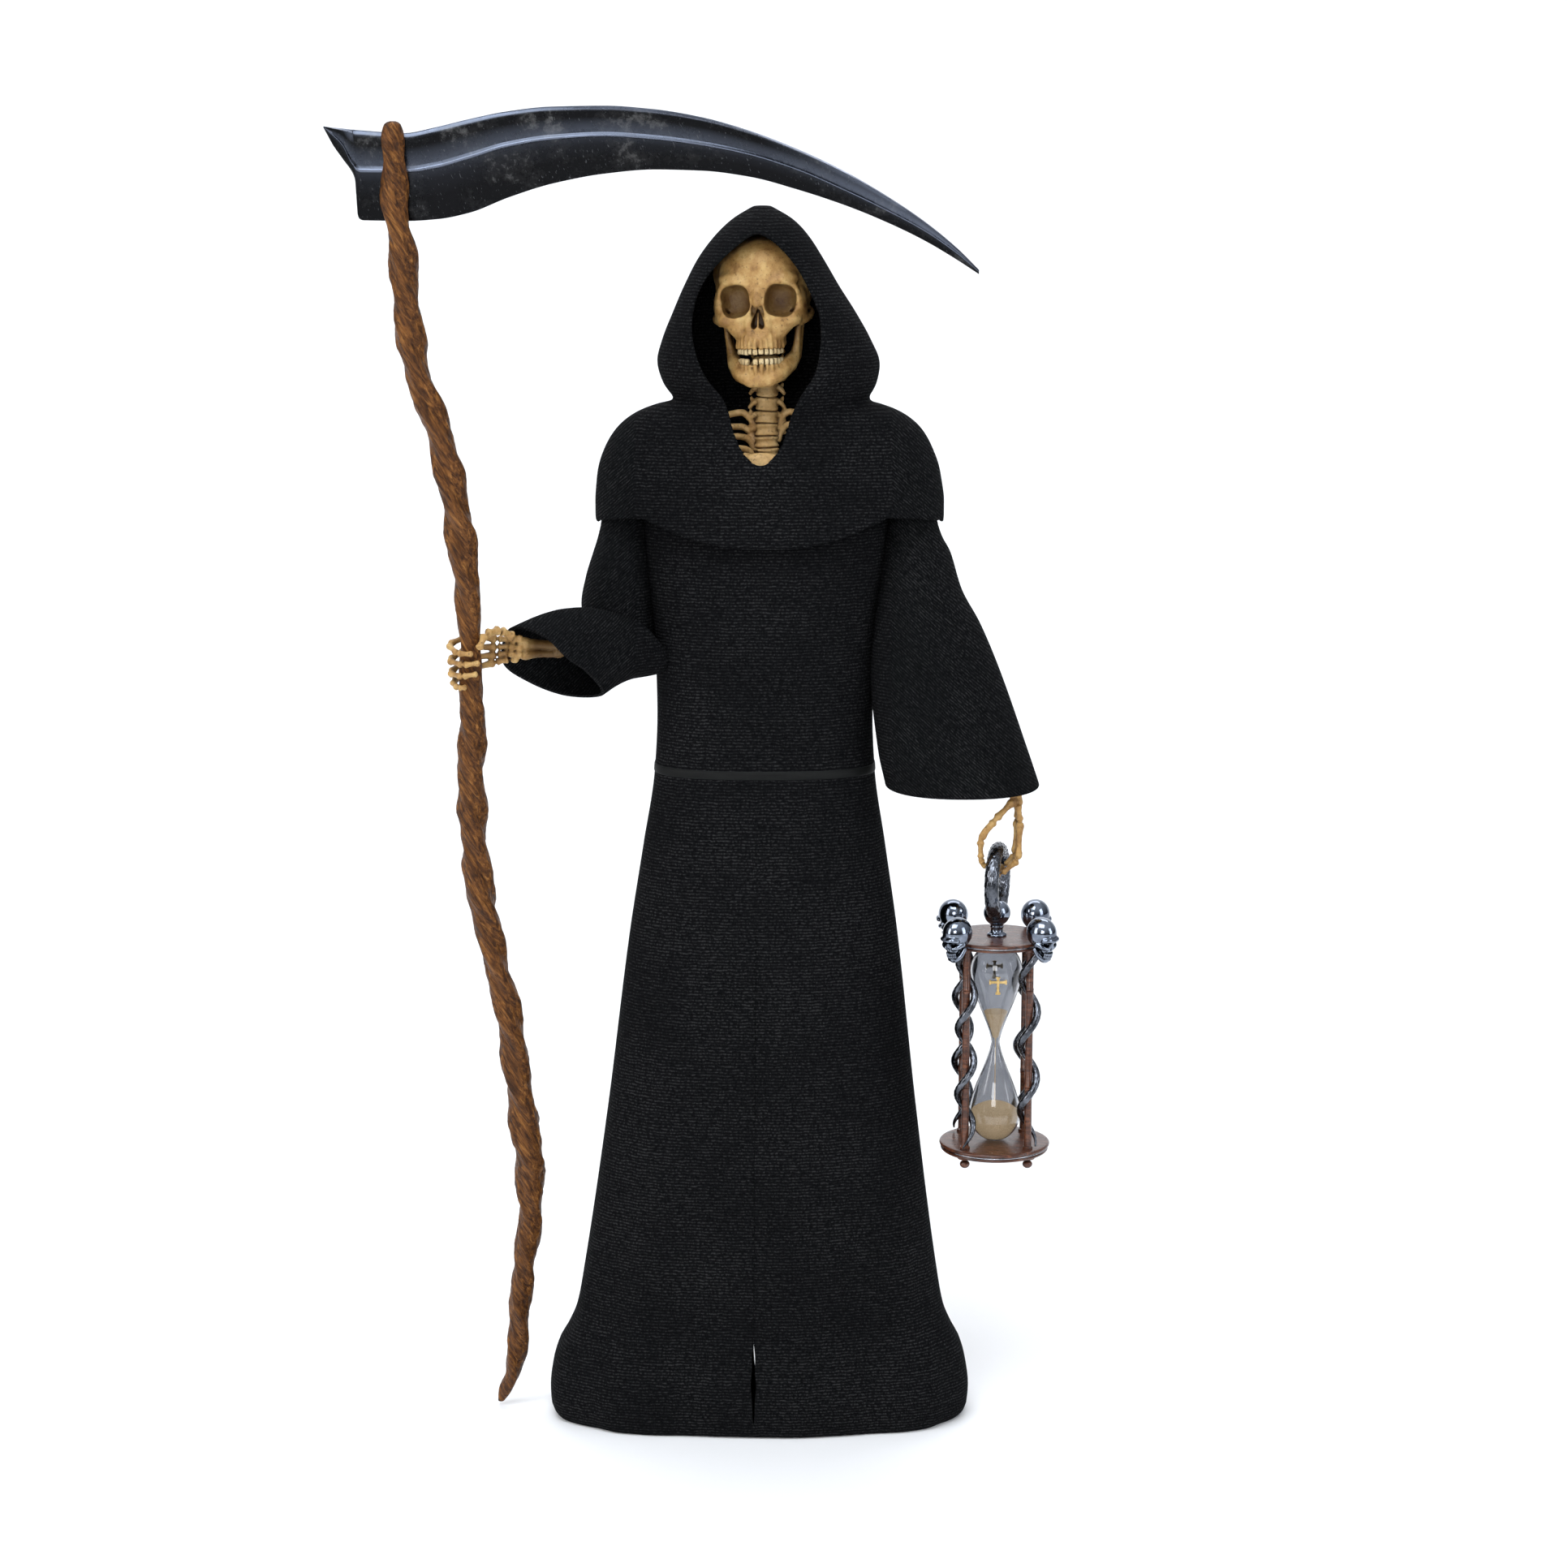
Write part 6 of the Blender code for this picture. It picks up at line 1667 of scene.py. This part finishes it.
def staff_look():
    """Gnarled brown wood with fine slanting grain and a thin gloss."""
    look = Look("gnarled_wood", (0.13, 0.052, 0.017), 0.36)
    streak = look.grain((0.85, 0.85, 0.11), 4.0, 0.6, (0.0, 0.55, 0.0), 0.5)
    line = look.grain((2.0, 2.0, 0.14), 3.0, 0.6, (0.0, 0.62, 0.0), 0.7)
    base = look.ramp(streak, (0.30, (0.020, 0.007, 0.002)), (0.45, (0.070, 0.025, 0.006)),
                     (0.58, (0.150, 0.056, 0.012)), (0.74, (0.30, 0.135, 0.036)))
    base = look.blend(look.spread(line, 0.0, 0.85, 0.54, 0.68), base, (0.014, 0.005, 0.002))
    # painted shade: the grooves between the ridges are darkened to near black by the staff's own occlusion
    occlusion_shade = look.spread(look.hollows(3.0), 0.85, 0.0, 0.40, 0.92)
    look.set(Base_Color=look.blend(occlusion_shade, base, (0.010, 0.004, 0.002)), Specular_IOR_Level=0.16,
             Roughness=look.spread(look.grain(0.6), 0.30, 0.50))
    look.bumps((streak, 0.70), (line, 0.40))
    return look.surface


def steel_look():
    """Blackened steel with painted highlights along its back and rib, and hairline scratches."""
    look = Look("blackened_steel", (0.016, 0.017, 0.019), 0.3, 1.0)
    brighter_share = look.add("ShaderNodeAttribute", attribute_name="bright").outputs["Fac"]
    mist = look.sums(look.grain(0.07, 6.0, 0.72), look.spread(look.grain(0.5, 4.0, 0.7), -0.14, 0.14))
    base = look.ramp(mist, (0.50, (0.0080, 0.0082, 0.0088)), (0.59, (0.015, 0.0152, 0.0158)),
                     (0.70, (0.070, 0.070, 0.070)))
    # painted highlight: a pale blue reflection of the sky laid on where the steel was marked
    base = look.blend(brighter_share, base, (0.28, 0.32, 0.42))
    hair = look.grain((2.6, 2.6, 0.06), 1.0, 0.4, (0.0, 0.35, 0.0))
    base = look.blend(look.spread(hair, 0.0, 0.30, 0.70, 0.76), base, (0.17, 0.175, 0.185))
    look.set(Base_Color=base, Roughness=look.spread(mist, 0.20, 0.42, 0.4, 0.72))
    look.bumps((look.grain(0.35, 4.0), 0.05), (hair, 0.02))
    return look.surface


def red_wood_look():
    """Polished reddish-brown wood."""
    look = Look("polished_red_wood", (0.085, 0.026, 0.012), 0.30)
    vein = look.grain((0.12, 0.9, 0.9), 4.0, 0.6, (0.0, 0.0, 0.3), 0.8)
    base = look.ramp(vein, (0.34, (0.022, 0.007, 0.004)), (0.52, (0.070, 0.022, 0.010)),
                     (0.70, (0.15, 0.052, 0.024)))
    # painted shade: the grooves of the beads are darkened by the piece's own occlusion
    occlusion_shade = look.spread(look.hollows(1.5), 0.85, 0.0, 0.3, 0.85)
    look.set(Base_Color=look.blend(occlusion_shade, base, (0.008, 0.003, 0.002)),
             Roughness=look.spread(look.grain(0.5), 0.22, 0.36),
             Specular_IOR_Level=0.40, Coat_Weight=0.15, Coat_Roughness=0.10)
    look.bumps((vein, 0.05))
    return look.surface


def metal_look(name, dark, light, rough_low, rough_high, cavity=1.2):
    """Metal, with painted shade that turns its hollows black."""
    look = Look(name, light, (rough_low + rough_high) / 2, 1.0)
    base = look.ramp(look.grain(0.22, 4.0, 0.6), (0.35, dark), (0.65, light))
    # painted shade: hollows are darkened to black by the piece's own occlusion
    occlusion_shade = look.spread(look.hollows(cavity), 0.97, 0.0, 0.45, 0.96)
    look.set(Base_Color=look.blend(occlusion_shade, base, (0.004, 0.004, 0.005)),
             Roughness=look.spread(look.grain(0.6), rough_low, rough_high, 0.35, 0.65))
    look.bumps((look.grain(0.8), 0.03))
    return look.surface


def glass_look():
    """Smoky glass."""
    look = Look("smoky_glass", (0.45, 0.46, 0.48), 0.02)
    haze = look.grain(0.12)
    look.set(Base_Color=look.ramp(haze, (0.3, (0.42, 0.43, 0.455)), (0.7, (0.47, 0.48, 0.505))),
             Roughness=look.spread(haze, 0.01, 0.04), Transmission_Weight=1.0, IOR=1.45)
    return look.surface


def sand_look():
    """Fine tan sand; a faint glow stands for the light that comes through the glass."""
    look = Look("tan_sand", (0.70, 0.52, 0.31), 0.9)
    grains = look.cells(3.2)
    look.set(Base_Color=look.ramp(grains, (0.15, (0.92, 0.74, 0.50)), (0.55, (0.78, 0.59, 0.36)),
                                  (0.9, (0.45, 0.30, 0.16))),
             Emission_Strength=0.85, Emission_Color=(0.62, 0.46, 0.27), Specular_IOR_Level=0.1)
    look.bumps((grains, 0.18))
    return look.surface


# Light, floor and camera

# Lamps: name, place, aim, size, power and colour; lengths in metres
LAMPS = (
    ("above", (-0.25, -0.75, 1.55), (0.0, 0.0, 0.25), (1.1, 0.8), 15.0, (0.90, 0.95, 1.0)),
    ("left", (-1.5, -0.9, 0.75), (0.0, 0.0, 0.28), (0.6, 1.2), 11.0, (1.0, 0.98, 0.95)),
    ("right", (1.5, -0.8, 0.7), (0.05, 0.0, 0.25), (0.6, 1.1), 9.0, (0.93, 0.96, 1.0)),
    ("front", (-0.25, -1.9, 0.75), (0.0, 0.0, 0.25), (0.7, 0.6), 11.0, (1.0, 1.0, 1.0)),
    ("behind", (0.0, 1.3, 2.2), (0.0, 1.4, 0.3), (2.6, 1.0), 26.0, (1.0, 1.0, 1.0)),
)


def make_lights():
    """Soft studio light: large lamps above and in front, one at each side, one for the floor."""
    for name, place, aim, size, power, colour in LAMPS:
        lamp = bpy.data.lights.new(name, "AREA")
        lamp.shape = "RECTANGLE"
        lamp.size, lamp.size_y = size
        lamp.energy = power
        lamp.color = colour
        made = link(name, lamp)
        made.location = place
        made.rotation_euler = (Vector(aim) - Vector(place)).to_track_quat("-Z", "Y").to_euler()


def make_floor():
    """A pale floor that rises softly behind the figure; lengths in metres."""
    profile = [(-2.5, 0.0), (1.2, 0.0)]
    for angle in np.linspace(0.0, math.pi / 2, 14)[1:]:
        profile.append((1.2 + 0.9 * math.sin(angle), 0.9 * (1 - math.cos(angle))))
    profile.append((2.1, 3.0))
    points = [(x, y, z - 0.0001) for y, z in profile for x in (-3.0, 3.0)]
    mesh = bpy.data.meshes.new("pale_floor")
    mesh.from_pydata(points, [], [(k, k + 1, k + 3, k + 2) for k in range(0, len(points) - 2, 2)])
    mesh.shade_smooth()
    look = Look("pale_floor", (0.86, 0.865, 0.875), 0.62)
    look.set(Base_Color=look.ramp(look.grain(0.004, 2.0), (0.3, (0.85, 0.855, 0.865)),
                                  (0.7, (0.88, 0.883, 0.89))))
    mesh.materials.append(look.surface)
    link("pale_floor", mesh)


def make_world():
    """A sky, pale above and dark towards the horizon, in plain colours as in the photograph."""
    world = bpy.data.worlds.new("pale_sky")
    world.use_nodes = True
    tree = world.node_tree
    sky = tree.nodes["Background"]
    height = tree.nodes.new("ShaderNodeSeparateXYZ")
    fade = tree.nodes.new("ShaderNodeValToRGB")
    band = fade.color_ramp
    band.elements[0].position, band.elements[0].color = 0.02, (0.10, 0.105, 0.12, 1.0)
    band.elements[1].position, band.elements[1].color = 0.75, (0.92, 0.95, 1.0, 1.0)
    place = tree.nodes.new("ShaderNodeTexCoord")
    tree.links.new(place.outputs["Generated"], height.inputs["Vector"])
    tree.links.new(height.outputs["Z"], fade.inputs["Fac"])
    tree.links.new(fade.outputs["Color"], sky.inputs["Color"])
    sky.inputs["Strength"].default_value = 0.80
    bpy.context.scene.world = world
    bpy.context.scene.view_settings.view_transform = "Standard"


def make_camera():
    """The camera at the photograph's angle."""
    data = bpy.data.cameras.new("camera")
    data.lens = CAMERA_LENS
    data.sensor_width = CAMERA_SENSOR
    data.dof.use_dof = False
    data.clip_start = 0.05
    camera = link("camera", data)
    x, y, z = CAMERA_TARGET
    camera.location = (x * MM, (y - CAMERA_DISTANCE * math.cos(CAMERA_PITCH)) * MM,
                       (z + CAMERA_DISTANCE * math.sin(CAMERA_PITCH)) * MM)
    camera.rotation_euler = (math.pi / 2 - CAMERA_PITCH, 0.0, 0.0)
    bpy.context.scene.camera = camera


# Everything

def main():
    """Dress every piece of the figurine."""
    cloth = cloth_look()
    satin = satin_look()
    bone = bone_look("aged_bone", AGED, HOLLOW_SHADE_BROWN)
    # painted shade: the right hand's copy of the bone darkens where it reaches into the cuff
    cuff_shaded_bone = bone_look("cuff_shaded_bone", AGED, HOLLOW_SHADE_BROWN, (-86.0, -81.0))
    # painted light: the neck's bone is a brighter copy of the aged bone, to offset the hood's shade
    lit_bone = bone_look("neck_bone_painted_light", LIT_BONE, (0.30, 0.17, 0.065))
    enamel = bone_look("ivory_teeth", IVORY, (0.12, 0.07, 0.03))
    wood = staff_look()
    steel = steel_look()
    red_wood = red_wood_look()
    gunmetal = metal_look("scaled_gunmetal", (0.035, 0.038, 0.044), (0.15, 0.16, 0.185), 0.14, 0.30, 0.8)
    chrome = metal_look("bright_metal", (0.13, 0.15, 0.19), (0.27, 0.305, 0.37), 0.05, 0.14, 2.4)
    silver = metal_look("silver_line", (0.30, 0.31, 0.33), (0.55, 0.56, 0.60), 0.18, 0.3)
    gold = metal_look("gilt_metal", (0.42, 0.27, 0.09), (0.74, 0.54, 0.24), 0.22, 0.4)
    glass = glass_look()
    sand = sand_look()
    make_robe(cloth)
    make_belt(satin)
    make_cape(cloth)
    make_skull(bone, enamel)
    make_neck(lit_bone)
    make_hands(cuff_shaded_bone, bone)
    make_scythe(wood, steel)
    make_frame_work(red_wood, silver)
    make_glass(glass, sand)
    make_serpents(gunmetal, chrome)
    make_handle(gunmetal, chrome)
    make_cross("cross_front", -1, gold)
    make_cross("cross_back", 1, gold)
    make_floor()
    make_world()
    make_lights()
    make_camera()


main()
